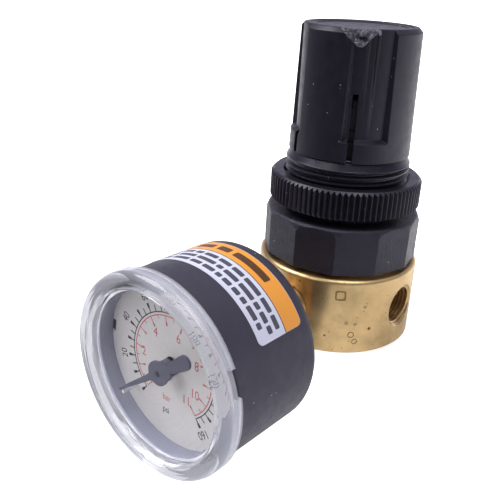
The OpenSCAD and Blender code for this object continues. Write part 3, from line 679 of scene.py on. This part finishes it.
def bonnet():
    """Twelve-sided bonnet with a moulded thread on its neck; the neck above the collar is darkened as
    painted shade.
    """
    skirt = prism("bonnet_shell", dodecagon(SKIRT_R, 0.5), SKIRT_Z, SHOULDER_Z)
    paint(skirt, BONNET_PLASTIC)
    shoulder = [(0, SKIRT_Z - 1), (SKIRT_R + 1, SKIRT_Z - 1), (SKIRT_R + 1, SHOULDER_Z - 2.6),
                (SKIRT_R - 0.1, SHOULDER_Z - 1.7),
                *arc((SKIRT_R - 1.5, SHOULDER_Z - 1.1), 1.1, 25, 90, 6), (0, SHOULDER_Z)]
    combine(skirt, [lathe("shoulder", shoulder)], "INTERSECT")
    thread_r, root_r, pitch = 15.0, 14.12, 1.5
    collar_z = KNOB_Z - 0.05
    lead_z = collar_z - 1.9
    neck = [(0, SHOULDER_Z - 1), (root_r, SHOULDER_Z - 1), (root_r, lead_z - 0.62),
            *arc((thread_r - 0.3, lead_z), 0.3, -60, 60, 8), (thread_r - 0.95, collar_z - 0.1),
            (thread_r - 1.1, collar_z), (NECK_R + 0.2, collar_z), (NECK_R, collar_z + 0.2)]
    for groove in (50.5, 53.0):
        neck += [(NECK_R, groove - 0.4), (NECK_R - 0.3, groove - 0.3), (NECK_R - 0.3, groove + 0.3),
                 (NECK_R, groove + 0.4)]
    neck += [(NECK_R, BONNET_TOP - 0.5), (NECK_R - 0.5, BONNET_TOP), (0, BONNET_TOP)]
    screw = threaded("neck_thread", root_r - 0.1, thread_r, pitch, lead_z - 7.583 * pitch, 7,
                     ridge=(0.55, 7.45), steps=144, place=spin(-58))
    boss_r, spring_r, screw_r, ledge_z, roof_z = 16.85, 9.8, 4.15, 25.4, 57.4
    inside = [(0, SKIRT_Z - 1), (boss_r, SKIRT_Z - 1), (boss_r, ledge_z), (14, ledge_z), (14, 28.5),
              (spring_r, 30.4), (spring_r, roof_z), (screw_r, roof_z), (screw_r, 62), (0, 62)]
    cutters = [lathe("inside", inside)]
    for angle in (0, 90):
        cutters.append(block("keyway", (-10.9, -1.65, 30), (10.9, 1.65, roof_z), spin(angle)))
    for k in range(24):
        cutters.append(block("notch", (NECK_R - 0.7, -0.4, BONNET_TOP - 2),
                             (NECK_R + 2, 0.4, BONNET_TOP + 1), spin(15 * k)))
    combine(skirt, [lathe("neck", neck), screw], "UNION")
    combine(skirt, [cutters[0], cutters[1], cutters[2], join("notches", cutters[3:])])
    paint(skirt, BONNET_PLASTIC, THREAD_PLASTIC, SHADED_NECK_PLASTIC)
    # Faces above the collar take the near-black neck plastic, which is painted shade for the neck
    # inside the knob; faces between the shoulder and the collar take the thread plastic.
    for face in skirt.data.polygons:
        height = face.center.z / MM
        face.material_index = int(height > SHOULDER_Z + 0.5) + int(height > collar_z + 0.3)
    return place_on(skirt, "root", ["bonnet"], 28)


def panel_nut():
    """Knurled panel nut: V grooves with small flats on their crests, chamfered at both faces."""
    teeth = 86
    root_r = NUT_R - 0.72
    flat = 0.09
    loop = []
    for k in range(teeth):
        middle = 360 * k / teeth
        flat_angle = math.degrees(flat / NUT_R)
        loop += [turn((NUT_R, 0), middle - flat_angle), turn((NUT_R, 0), middle + flat_angle)]
        loop.append(turn((root_r, 0), middle + 180 / teeth))
    nut = prism("knurled_nut", loop, NUT_Z, NUT_TOP)
    bore = 15.05
    chamfer = 0.8
    ring = [(bore, NUT_Z + 0.5), (bore + 0.5, NUT_Z), (NUT_R - 0.5, NUT_Z),
            (NUT_R + 0.02, NUT_Z + 0.4), (NUT_R + 0.02, NUT_TOP - chamfer),
            (NUT_R - 0.85, NUT_TOP - 0.02), (NUT_R - 0.95, NUT_TOP), (bore + 0.55, NUT_TOP),
            (bore, NUT_TOP - 0.55)]
    combine(nut, [lathe("nut_ring", ring)], "INTERSECT")
    return place_on(paint(nut, NUT_PLASTIC), "panel_nut", ["panel_nut"], 25)


def rough_lump(name, size, place, seed):
    """A noisy blob, narrower towards its foot; size is its half extents."""
    shape = bmesh.new()
    bmesh.ops.create_icosphere(shape, subdivisions=4, radius=1)
    ragged = 0.16
    shift = Vector((seed * 7.3, seed * 3.1, seed * 1.7))
    for vert in shape.verts:
        p = vert.co.copy()
        narrow = 0.42 + 0.58 * (p.z + 1) / 2
        q = Vector((p.x * size[0] * narrow, p.y * size[1], p.z * size[2]))
        swell = noise.fractal(q * 0.55 + shift, 0.9, 2.1, 5)
        vert.co = (q + p.normalized() * swell * ragged * 2.2) * MM
    mesh = bpy.data.meshes.new(name)
    shape.to_mesh(mesh)
    shape.free()
    mesh.transform(place)
    return put(name, mesh)


def torn_patch(name, side_r, chamfer, deep, melted):
    """The V-shaped tear in the knob's top edge: its empty space, or the rough melted plastic that
    half fills it."""
    path = [(11.75, KNOB_TOP), (side_r - chamfer, KNOB_TOP), (side_r, KNOB_TOP - chamfer),
            (side_r + 0.05, KNOB_TOP - 3.7)]
    lengths = [math.dist(a, b) for a, b in zip(path, path[1:])]
    total = sum(lengths)
    rows, columns = 56, 64
    outside, inside = [], []
    for j in range(rows + 1):
        share = j / rows
        at = share * total
        k = 0
        while k < 2 and at > lengths[k]:
            at -= lengths[k]
            k += 1
        (r0, z0), (r1, z1) = path[k], path[k + 1]
        radius, height = r0 + (r1 - r0) * at / lengths[k], z0 + (z1 - z0) * at / lengths[k]
        lean = math.radians(90 - 90 * min(1, max(0, share * 1.9 - 0.25)))
        narrow = 1 - max(0, share - 0.22) / 0.78
        half = 2.2 + 16.8 * narrow ** 0.9 + 0.9 * noise.noise(Vector((share * 9, 3, 1)))
        middle = -60.5 + 3.0 * share
        for i in range(columns + 1):
            across = 2 * i / columns - 1
            polar = middle + half * across
            here = Vector((polar * 0.24, share * total, 0))
            lift = 0.9
            if melted:
                edge = min(1, (1 - abs(across)) * 4, (1 - share) * 6)
                broad = noise.fractal(here * 0.75 + Vector((5.3, 0, 0)), 0.8, 2.0, 4)
                fine = noise.fractal(here * 3.1 + Vector((0, 3.7, 2)), 0.8, 2.1, 4)
                hollow = math.exp(-((polar + 56) / 4.2) ** 2 - ((share * total - 3.3) / 0.75) ** 2)
                lift = -0.22 - 0.12 * (1 - edge) + edge * (0.85 * broad + 0.3 * fine - 1.7 * hollow)
                lift = min(0.34 if share > 0.3 else -0.02, lift)
            for depth, points in ((lift, outside), (-deep, inside)):
                r = radius + depth * math.cos(lean)
                points.append((*turn((r, 0), polar), height + depth * math.sin(lean)))
    n = columns + 1
    count = len(outside)
    faces = []
    for j in range(rows):
        for i in range(columns):
            a = j * n + i
            b = count + a
            faces += [[a, a + 1, a + n + 1, a + n], [b, b + n, b + n + 1, b + 1]]
    border = [*range(n), *range(2 * n - 1, count, n), *range(count - 2, count - n - 1, -1),
              *range(count - 2 * n, 0, -n)]
    for k, a in enumerate(border):
        b = border[(k + 1) % len(border)]
        faces.append([a, b, count + b, count + a])
    return paint(solid(name, outside + inside, faces), TORN_PLASTIC)


def knob():
    """Knob with bevelled grip recesses, spring slots, and a chip in its top edge."""
    low_r, top_r, chamfer = high("knob").x, high("knob").x - 0.7, 1.0
    hex_r = 7.12 / 2 / math.cos(math.radians(30))
    bore_r, cap_r, cap_seat, roof_z = 12.3, 11.69, KNOB_TOP - 0.9, 72
    outline = [(bore_r, KNOB_Z + 0.25), (bore_r + 0.25, KNOB_Z), (low_r - 0.12, KNOB_Z),
               (low_r, KNOB_Z + 0.12), (top_r, KNOB_TOP - chamfer),
               (top_r - 0.1, KNOB_TOP - chamfer + 0.14), (top_r - chamfer + 0.14, KNOB_TOP - 0.08),
               (top_r - chamfer, KNOB_TOP), (11.9, KNOB_TOP), (cap_r, KNOB_TOP - 0.2),
               (cap_r, cap_seat), (0, cap_seat), (0, roof_z), (11.6, roof_z), (11.6, 62), (bore_r, 62)]
    shell = lathe("knob_shell", outline)
    hub = prism("hub", [turn((6.3, 0), 360 * k / 96) for k in range(96)], 61, 72.2)
    combine(paint(shell, KNOB_PLASTIC), [paint(hub, KNOB_PLASTIC)], "UNION")
    cutters = [prism("hexagon", [turn((hex_r, 0), 60 * k) for k in range(6)], 60, 71.2)]
    steps = 28
    n = steps + 1
    for k in range(4):
        points = []
        for radius, half, foot in ((13.1, 18.7, 51.15), (16.2, 24.6, 49.75)):
            for height in (foot, KNOB_TOP + 2):
                points += [(*turn((radius, 0), -44 + 90 * k + half * (2 * i / steps - 1)), height)
                           for i in range(n)]
        faces = [[0, n, 3 * n, 2 * n], [steps, 2 * n + steps, 3 * n + steps, n + steps]]
        for i in range(steps):
            a, b, c, d = (row * n + i for row in range(4))
            faces += [[a, a + 1, b + 1, b], [c, d, d + 1, c + 1], [a, c, c + 1, a + 1],
                      [b, b + 1, d + 1, d]]
        cutters.append(solid(f"recess{k}", points, faces))
    cutters += [block("slot", (NECK_R, -0.65, KNOB_Z - 1), (20, 0.65, 61.2), spin(-57 + a))
                for a in (0, 120, 180, 300)]
    combine(shell, [paint(cutter, KNOB_PLASTIC) for cutter in cutters])
    combine(shell, [torn_patch("tear", top_r, chamfer, 2.4, False)])
    combine(shell, [torn_patch("melted", top_r, chamfer, 2.5, True)], "UNION")
    crumbs = [rough_lump(f"crumb{k}", size, spin(polar - 90) @ shift(0, radius, height), k + 3)
              for k, (size, polar, radius, height) in enumerate((
                  ((0.75, 0.45, 0.4), -43.5, 12.9, 74.45), ((0.45, 0.35, 0.5), -40.8, 13.1, 74.2),
                  ((0.4, 0.3, 0.45), -46.5, 13.2, 73.6)))]
    combine(shell, [paint(crumb, TORN_PLASTIC) for crumb in crumbs], "UNION")
    return place_on(shell, "knob", ["knob"], 30)


def knob_cap():
    """Round insert in the knob's top, with a raised rim and a shallow dish."""
    bottom = low("knob_cap").z
    top = high("knob_cap").z
    rim = 11.6
    outline = [(0, bottom), (rim, bottom), (rim, top - 0.15), (rim - 0.15, top), (rim - 1.0, top),
               (rim - 1.25, top - 0.22), (4, top - 0.3), (0, top - 0.3)]
    cap = lathe("knob_insert", outline)
    return place_on(paint(cap, KNOB_PLASTIC), "knob", ["knob_cap"])


# -------------------------------------------------------------------------- gauge

def gauge_case():
    """Moulded case: rounded back, screw holes, and two keys that hold the dial."""
    back_round = 2.6
    wall = CASE_BACK + 1.6
    seat_r = 19.5
    bore_r = 18.3
    outline = [(5.95, CASE_BACK),
               *arc((CASE_R - back_round, CASE_BACK + back_round), back_round, -90, 0, 16),
               (CASE_R, CASE_FRONT - 0.25), (CASE_R - 0.25, CASE_FRONT), (seat_r, CASE_FRONT),
               (seat_r, DIAL_BACK), (bore_r, DIAL_BACK), (bore_r, wall), (5.95, wall)]
    case = lathe("gauge_shell", outline, 256, GAUGE)
    holes = [rod("hole", 1.3, CASE_BACK - 1, wall + 1, GAUGE @ shift(side * 3.6, -9.5, 0))
             for side in (-1, 1)]
    combine(case, holes)
    key = [(18.0, -1.3), *arc((0, 0), seat_r + 0.2, -3.8, 3.8, 6), (18.0, 1.3)]
    combine(case, [prism("key", key, DIAL_BACK - 0.3, DIAL_BACK + 0.45, GAUGE @ spin(angle))
                   for angle in KEY_ANGLES], "UNION")
    return place_on(paint(case, CASE_PLASTIC), "root", ["gauge_case"])


def lens():
    """Clear lens: flat window, raised rounded rim, deep skirt and a prising gap."""
    window_back, window_front = 63.2, 64.7
    window_r = 18.3
    back = CASE_FRONT + 0.05
    spigot_r = 19.44
    inner_r = 18.75
    outline = [(0, window_back), (17.5, window_back), (17.9, window_back - 0.1), (inner_r, 62.3),
               (inner_r, DIAL_FACE + 0.15), (inner_r + 0.15, DIAL_FACE), (spigot_r, DIAL_FACE),
               (spigot_r, back), (LENS_R - 0.15, back), (LENS_R, back + 0.15),
               *arc((LENS_R - 1.8, LENS_FRONT - 1.9), 1.8, 0, 78, 14), (20.0, LENS_FRONT),
               (19.1, LENS_FRONT), (18.8, LENS_FRONT - 0.15), (18.6, LENS_FRONT - 0.5),
               (window_r + 0.12, window_front + 0.12), (window_r, window_front), (0, window_front)]
    body = lathe("clear_lens", outline, 256, GAUGE)
    far = 30
    gap = prism("gap", [(0, 0), turn((far, 0), 12), turn((far, 0), 27)], CASE_FRONT - 1,
                CASE_FRONT + 1.15, GAUGE)
    ring = lathe("ring", [(19.9, CASE_FRONT - 1), (far, CASE_FRONT - 1), (far, CASE_FRONT + 3),
                          (19.9, CASE_FRONT + 3)], 256, GAUGE)
    combine(gap, [ring], "INTERSECT")
    combine(body, [gap])
    paint(body, CLEAR, RIM_HAZE_AND_HIGHLIGHT, WALL_PAINTED_SHADE, CLEAR_STEP)
    # Faces sort into the clear window, the rim with its milky tint and painted highlight, the nearly
    # clear front step, and the inner wall with its blue-grey painted shade.
    to_gauge = GAUGE.inverted()
    for face in body.data.polygons:
        x, y, z = to_gauge @ face.center / MM
        radius = math.hypot(x, y)
        if z < window_back - 0.5 and radius < spigot_r - 0.2:
            face.material_index = 2
        elif radius > window_r:
            face.material_index = 3 if z > window_front - 0.1 and radius < 20.1 else 1
    return place_on(body, "root", ["lens"], 10)


def pointer():
    """Pointer with a tapered blade, a hub with shoulders and a broad rounded tail."""
    disc_r = 2.7
    tail = 1.6
    tail_at = -9.4
    loop = [(15.5, -0.28), (15.5, 0.28), (3.4, 0.72), *arc((0, 0), disc_r, 20, 118, 10),
            *arc((-2.3, 0.4), 1.75, 80, 165, 6), (-4.6, 1.15), (tail_at, tail),
            *arc((tail_at, 0), tail, 100, 260, 10), (tail_at, -tail), (-4.6, -1.15),
            *arc((-2.3, -0.4), 1.75, 195, 280, 6), *arc((0, 0), disc_r, 242, 340, 10), (3.4, -0.72)]
    blade = prism("gauge_pointer", loop, POINTER_BACK, POINTER_FRONT, GAUGE @ spin(-142))
    hub = rod("pointer_hub", 2.0, HUB_BACK, POINTER_BACK + 0.1, GAUGE, 64)
    bore = rod("pointer_bore", 0.52, HUB_BACK - 1, POINTER_FRONT + 1, GAUGE)
    modify(blade, "BEVEL", width=0.1 * MM, segments=2, limit_method="ANGLE",
           angle_limit=math.radians(40), use_clamp_overlap=True)
    combine(blade, [hub], "UNION")
    combine(blade, [bore])
    return place_on(paint(blade, POINTER_PAINT), "pointer", ["pointer"])


def scale_line(radius, start, end):
    """A thin arc printed on the dial."""
    wide = 0.24
    steps = max(3, int(abs(end - start) / 3))
    loop = arc((0, 0), radius + wide / 2, start, end, steps)
    loop += arc((0, 0), radius - wide / 2, end, start, steps)
    return prism("arc", loop, *PRINT, GAUGE)


def figure(text, size, x, y, turned=0):
    """A word or number standing on the dial, as a thin solid."""
    thick, narrow = 0.02, 0.82
    line = bpy.data.curves.new("figure", "FONT")
    line.body = text
    line.size = size * MM
    line.align_x = line.align_y = "CENTER"
    line.extrude = thick / 2 * MM
    line.resolution_u = 4
    holder = put("figure", line)
    bpy.context.view_layer.update()
    mesh = bpy.data.meshes.new_from_object(
        holder.evaluated_get(bpy.context.evaluated_depsgraph_get()))
    bpy.data.objects.remove(holder)
    mesh.transform(GAUGE @ shift(x, y, DIAL_FACE + thick / 2) @ spin(turned)
                   @ Matrix.Diagonal((narrow, 1, 1, 1)))
    return put("figure", mesh)


def tick(inner, outer, wide_in, wide_out, angle):
    """A tapered scale mark, as a thin solid."""
    loop = [(inner, -wide_in / 2), (outer, -wide_out / 2), (outer, wide_out / 2),
            (inner, wide_in / 2)]
    return prism("tick", loop, *PRINT, GAUGE @ spin(angle))


def bourdon_tube():
    """The C-shaped flattened tube, one fixed mesh from the socket round to its free end."""
    radius, thick, wide, wall, back = 14.6, 1.5, 5.0, 0.25, 44.0
    start, end, steps = -6.0, 259.0, 106
    straight = (wide - thick) / 2
    rings = []
    for inset, order in ((0, range(steps + 1)), (wall, range(steps, -1, -1))):
        half = thick / 2 - inset
        oval = arc((0, straight), half, 0, 180, 8) + arc((0, -straight), half, 180, 360, 8)
        for k in order:
            angle = start + (end - start) * k / steps
            rings.append([(*turn((radius + x, 0), angle), back + wide / 2 + z) for x, z in oval])
    tube = loft("gauge_bourdon_tube", rings, GAUGE, closed=True)
    paint(tube, BRONZE)
    smooth(tube)
    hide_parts("bourdon_tube")
    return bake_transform(tube)


def diaphragm():
    """The rubber diaphragm: its middle goes down with the plate, its fold and clamped rim stay."""
    under = BOSS_TOP
    over = under + 0.9
    centre = (11.4, under)
    middle = lathe("diaphragm_middle", [(2.5, under), (9.5, under), (9.3, over), (2.5, over)])
    fold = lathe("diaphragm_fold", [(9.54, under), *arc(centre, 1.8, 180, 0, 12), (16.4, under),
                                    (16.4, over), *arc(centre, 2.7, 19.5, 160.5, 16), (9.34, over)])
    place_on(paint(middle, RUBBER), "plate", ["diaphragm"])
    place_on(paint(fold, RUBBER), "root")


def dial():
    """Enamelled dial: a hole close round the pointer's hub, and two notches for the case's keys."""
    hole_r, edge = 2.03, 0.08
    outline = [(hole_r, DIAL_BACK), (DIAL_R, DIAL_BACK), (DIAL_R, DIAL_FACE - edge),
               (DIAL_R - edge, DIAL_FACE), (hole_r, DIAL_FACE)]
    plate = lathe("gauge_dial", outline, ROUND, GAUGE)
    low_z, high_z = DIAL_BACK - 1, DIAL_FACE + 1
    cutters = [rod("pin_hole", 0.42, low_z, high_z, GAUGE @ spin(-138.6) @ shift(14.5, 0, 0))]
    cutters += [block("notch", (17.9, -1.4, low_z), (21, 1.4, high_z), GAUGE @ spin(angle))
                for angle in KEY_ANGLES]
    combine(plate, cutters)
    return place_on(paint(plate, DIAL_PAINT), "root", ["dial"])


def print_piece(name, parts, ink):
    """One colour of the dial's print."""
    piece = join(name, parts)
    return place_on(paint(piece, ink), "root")


def dial_print():
    """Two scales: bar inside in red, psi outside in black."""
    zero = 227.4
    bar_step = 25.45
    bars = [scale_line(11.05, zero - 11 * bar_step, zero)]
    for half in range(23):
        angle = zero - bar_step * half / 2
        if half % 2 == 0:
            bars += [tick(9.5, 11.1, 0.2, 0.2, angle), tick(8.8, 9.7, 0.5, 0.34, angle)]
        else:
            bars.append(tick(10.2, 11.1, 0.2, 0.2, angle))
    for text, x, y in (("2", -8.6, -0.2), ("4", -4.95, 5.9), ("6", 1.8, 7.0), ("8", 7.0, 2.9),
                       ("10", 6.6, -3.85), ("11", 4.2, -6.4)):
        bars.append(figure(text, 3.1, x, y))
    bars.append(figure("bar", 2.2, -1.65, -8.6))
    print_piece("dial_bar_scale", bars, RED_INK)
    zero += 0.3
    psi_step = 1.754
    psi = [scale_line(11.72, zero - 160 * psi_step, zero)]
    for five in range(33):
        angle = zero - 5 * psi_step * five
        if five % 2 == 0:
            psi += [tick(11.7, 13.1, 0.26, 0.26, angle), tick(12.7, 13.8, 0.5, 0.7, angle)]
        else:
            psi.append(tick(11.7, 13.2, 0.26, 0.26, angle))
        if five % 4 == 0 and five > 0:
            psi.append(figure(str(5 * five), 2.7, *turn((15.3, 0), angle), angle - 90))
    psi.append(figure("psi", 2.2, -1.8, -11.7))
    print_piece("dial_psi_scale", psi, BLACK_INK)


def wrapped(name, radius, start, end, back, front, thick, corners, material):
    """A thin patch bent round the case between two angles and two distances. corners holds the
    corner radius at its back and its front."""
    length = math.radians(end - start) * radius
    reach = max(corners)
    ends = [reach * (1 - math.cos(math.radians(a))) for a in range(0, 90, 12)] if reach else [0]
    straight = length - 2 * reach
    steps = max(2, int(straight / 0.5))
    along = ends + [reach + straight * i / steps for i in range(steps + 1)]
    along += [length - s for s in reversed(ends)]

    def inset(s, corner):
        """How far a rounded corner draws the edge in, at a distance along the patch."""
        near = min(s, length - s)
        if corner <= 0 or near >= corner:
            return 0.0
        return corner - math.sqrt(max(0.0, corner ** 2 - (corner - near) ** 2))

    rings = []
    for s in along:
        angle = math.degrees(s / radius) + start
        lo, hi = back + inset(s, corners[0]), front - inset(s, corners[1])
        rings.append([(*turn((r, 0), angle), z) for r, z in (
            (radius, lo), (radius, hi), (radius + thick, hi), (radius + thick, lo))])
    return paint(loft(name, rings, GAUGE), material)


def label():
    """Two-tone label film round the case, with plain bars where a notice would be."""
    radius = CASE_R + 0.005
    outside = radius + 0.08
    back, front = 40.6, 53.5
    start, end = 29, 141
    split = 45.5
    parts = [wrapped("film", radius, start, end, back, front, 0.08, (1.2, 1.2), WHITE_FILM),
             wrapped("band", outside, start + 0.12, end - 0.12, back + 0.1, split, 0.015, (1.1, 0),
                     ORANGE_FILM),
             wrapped("line", outside, start + 0.1, end - 0.1, split, split + 0.22, 0.02, (0, 0),
                     BAR_INK)]
    chance = random.Random(11)
    tall, gap = 1.25, 1.6
    for row, (z, first, last) in enumerate(((46.75, 33, 138), (48.95, 32, 139), (51.1, 36, 134))):
        angle = first + 0.5 * row
        while angle < last - 4:
            stop = min(angle + chance.uniform(3.5, 13), last)
            parts.append(wrapped(f"bar{row}", outside, angle, stop, z, z + tall, 0.014, (0.3, 0.3),
                                 BAR_INK))
            angle = stop + gap
    for first, last in ((58, 84), (87, 96), (99, 112)):
        parts.append(wrapped("head", outside + 0.015, first, last, 42.1, 44.1, 0.01, (0.4, 0.4),
                             DARK_INK))
    return place_on(join("label_film", parts), "root", ["case_label"])


# ------------------------------------------------------------------ inner pieces

def coil(name, mean_r, wire_r, bottom, top, turns):
    """A compression spring with closed end turns."""
    sides, per_turn = 12, 40
    dead, slope = 0.75, 0.35
    rings = []
    for i in range(turns * per_turn + 1):
        at = i / per_turn
        ends = min(at, turns - at) / dead
        share = (min(at, dead) * slope + max(0, min(at, turns - dead) - dead)
                 + max(0, at - (turns - dead)) * slope) / (turns - 2 * dead + 2 * dead * slope)
        height = bottom + wire_r + (top - bottom - 2 * wire_r) * share
        slim = wire_r * (0.9 + 0.1 * min(1, ends))
        section = arc((mean_r, height), slim, 0, 360 - 360 / sides, sides - 1)
        rings.append([(*turn((r, 0), 360 * at), z) for r, z in section])
    return loft(name, rings)


def springs():
    """Both compression springs, as fixed coils on the root, each as long as its CAD node."""
    for name, node, joint, mean_r, wire_r, turns, travel in (
            ("main_spring", "regulating_spring", "nut_travel", 7.6, 1.2, 5, 9.01),
            ("valve_return_spring", "valve_spring", "valve_lift", 2.6, 0.175, 6, 0.8)):
        bottom, top = low(node).z, high(node).z
        spring = coil(name, mean_r, wire_r, bottom, top, turns)
        paint(spring, SPRING_STEEL)
        place_on(spring, "root", [node])
        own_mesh(spring)


CAD_FINISHES = {
    BRASS_PLUG: ("rear_port_plug", "bottom_plug", "relief_seat", "restrictor"),
    BRASS_FITTING: ("gauge_socket",),
    BRASS_VALVE: ("valve_poppet",),
    BRASS_MOVEMENT: ("tube_tip", "link", "sector_gear", "movement_back_plate",
                     "movement_front_plate", "movement_posts", "hairspring"),
    STEEL: ("adjusting_screw", "movement_screws", "case_screws", "slip_ring"),
    DARK_STEEL: ("pinion_arbor",),
    ZINC: ("spring_nut",),
    ALUMINIUM: ("diaphragm_plate",),
    RUBBER: ("plug_oring", "valve_seal"),
    NYLON: ("thrust_washer",),
    PIN_PAINT: ("stop_pin",),
}


def dress_cad_nodes():
    """Gives the CAD nodes that stay in view their materials."""
    for material, names in CAD_FINISHES.items():
        for name in names:
            paint(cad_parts[name], material)


# --------------------------------------------------------- camera, floor and light

def camera():
    """The view of the object: turned to its right, looking down, slightly rolled."""
    yaw, pitch, roll = (math.radians(a) for a in (39.76, -23.19, 2.99))
    ahead = Vector((-math.sin(yaw) * math.cos(pitch), math.cos(yaw) * math.cos(pitch),
                    math.sin(pitch)))
    right = Vector((math.cos(yaw), math.sin(yaw), 0))
    up = right.cross(ahead)
    side = math.cos(roll) * right + math.sin(roll) * up
    top = math.cos(roll) * up - math.sin(roll) * right
    data = bpy.data.cameras.new("camera")
    data.sensor_width = 36
    data.lens = 48.58
    data.clip_start = 0.01
    eye = put("camera", data)
    eye.matrix_world = Matrix.Translation((0.08601, -0.13898, 0.08688)) @ Matrix(
        (side, top, -ahead)).transposed().to_4x4()
    bpy.context.scene.camera = eye


def floor():
    """A wide pale floor. The object leans on its lens's rim and the body's back edge. The floor
    darkens far in front, and glows behind and beneath the object."""
    front = Vector((0, -LENS_FRONT + 2, PORT_Z - LENS_R)) * MM
    back = Vector((0, BODY_R - 0.3, 0)) * MM
    lean = math.atan2(back.z - front.z, back.y - front.y)
    far = 4.0
    sheet = bpy.data.meshes.new("floor")
    sheet.from_pydata([(-far, -far, 0), (far, -far, 0), (far, far, 0), (-far, far, 0)], [],
                      [(0, 1, 2, 3)])
    plane = put("floor", sheet)
    under = back - Vector((0, 0, 0.0001))
    plane.matrix_world = Matrix.Translation(under) @ Matrix.Rotation(lean, 4, "X")
    make = Finish("floor")
    across, ahead = (make.add("SeparateXYZ", {0: make.place()}).outputs[k] for k in "XY")
    reach = make.math("DIVIDE", make.math("SUBTRACT", -95, ahead), 70)
    base = make.ramp(reach, (0.0, 0.86), (1.0, 0.25))
    behind = make.math("DIVIDE", make.math("MULTIPLY_ADD", across, 0.15, make.plus(ahead, 5)), 40)
    apart = make.add("VectorMath", {0: make.place(), 1: (8, -62, 0)}, operation="DISTANCE")
    beneath = make.math("SUBTRACT", 1.4, make.math("DIVIDE", apart.outputs["Value"], 30))
    lit = make.ramp(make.math("MAXIMUM", behind, beneath), (0.0, 0.0), (1.0, 1.0))
    make.finish(Base_Color=base, Roughness=0.9, Emission_Color=lit, Emission_Strength=0.6)
    glow = make.add("Emission", {"Color": (1, 1, 1, 1), "Strength": 0.85})
    both = make.add("AddShader", {0: make.shader.outputs[0], 1: glow.outputs[0]})
    make.by_ray("Is Camera Ray", make.shader, both, make.output)
    paint(plane, make.material)


def light_tent():
    """A soft white tent, open and dark on the side from which the object is photographed."""
    world = bpy.data.worlds.new("tent")
    bpy.context.scene.world = world
    world.use_nodes = True
    world.node_tree.nodes.clear()
    make = Nodes(world.node_tree)

    def tinted(value, stops):
        """A ramp through brightnesses of the tent's faintly blue white."""
        white = (0.98, 0.97, 1.1)
        return make.ramp(value, *((at, [shade * part for part in white]) for at, shade in stops))

    way = make.add("SeparateXYZ", {0: make.add("TexCoord").outputs["Generated"]}).outputs
    polar = make.math("ARCTAN2", way["Y"], way["X"])
    share = make.add("MapRange", {"Value": polar, "From Min": -math.pi, "From Max": math.pi})
    walls = tinted(share.outputs[0], [((angle + 180) / 360, shade) for angle, shade in (
        (-180, 0.8), (-152, 0.6), (-135, 0.2), (-120, 0.05), (-72, 0.05), (-60, 0.45), (5, 0.5),
        (35, 0.7), (70, 1.5), (130, 1.4), (150, 1.0), (180, 0.8))])
    low_sky = tinted(way["Z"], [(0.16, 1.0), (0.3, 0.5)])
    roof = tinted(way["Z"], [(0.5, 0.0), (0.72, 1.0)])
    tent = make.mix(roof, make.mix(1.0, walls, low_sky, "MULTIPLY"), (0.98, 0.98, 1.06))
    lit = make.add("Background", {0: tent, 1: 0.6})
    plain = make.add("Background", {0: (1, 1, 1, 1)})
    make.by_ray("Is Camera Ray", lit, plain, make.add("OutputWorld"))


def softbox(name, polar, elevation, distance, size, power):
    """A square area light that looks at the middle of the object."""
    middle = Vector((0, -0.02, 0.03))
    towards = spin(polar) @ spin(-elevation, "Y") @ Vector((1, 0, 0))
    data = bpy.data.lights.new(name, "AREA")
    data.shape = "SQUARE"
    data.size = size
    data.energy = power
    put(name, data).matrix_world = (Matrix.Translation(middle + towards * distance)
                                    @ (-towards).to_track_quat("-Z", "Y").to_matrix().to_4x4())


def lights():
    """Soft studio light from above and from the left."""
    light_tent()
    softbox("key", -150, 48, 0.55, 0.32, 1.8)
    softbox("top", -20, 72, 0.55, 0.30, 0.9)
    softbox("fill", -100, 36, 0.6, 0.3, 0.5)
    bpy.context.scene.view_settings.view_transform = "Standard"


# ----------------------------------------------------------------------- assembly

camera()
floor()
lights()
dress_cad_nodes()
brass_body()
bonnet()
panel_nut()
knob()
knob_cap()
gauge_case()
lens()
pointer()
bourdon_tube()
diaphragm()
dial()
dial_print()
label()
springs()
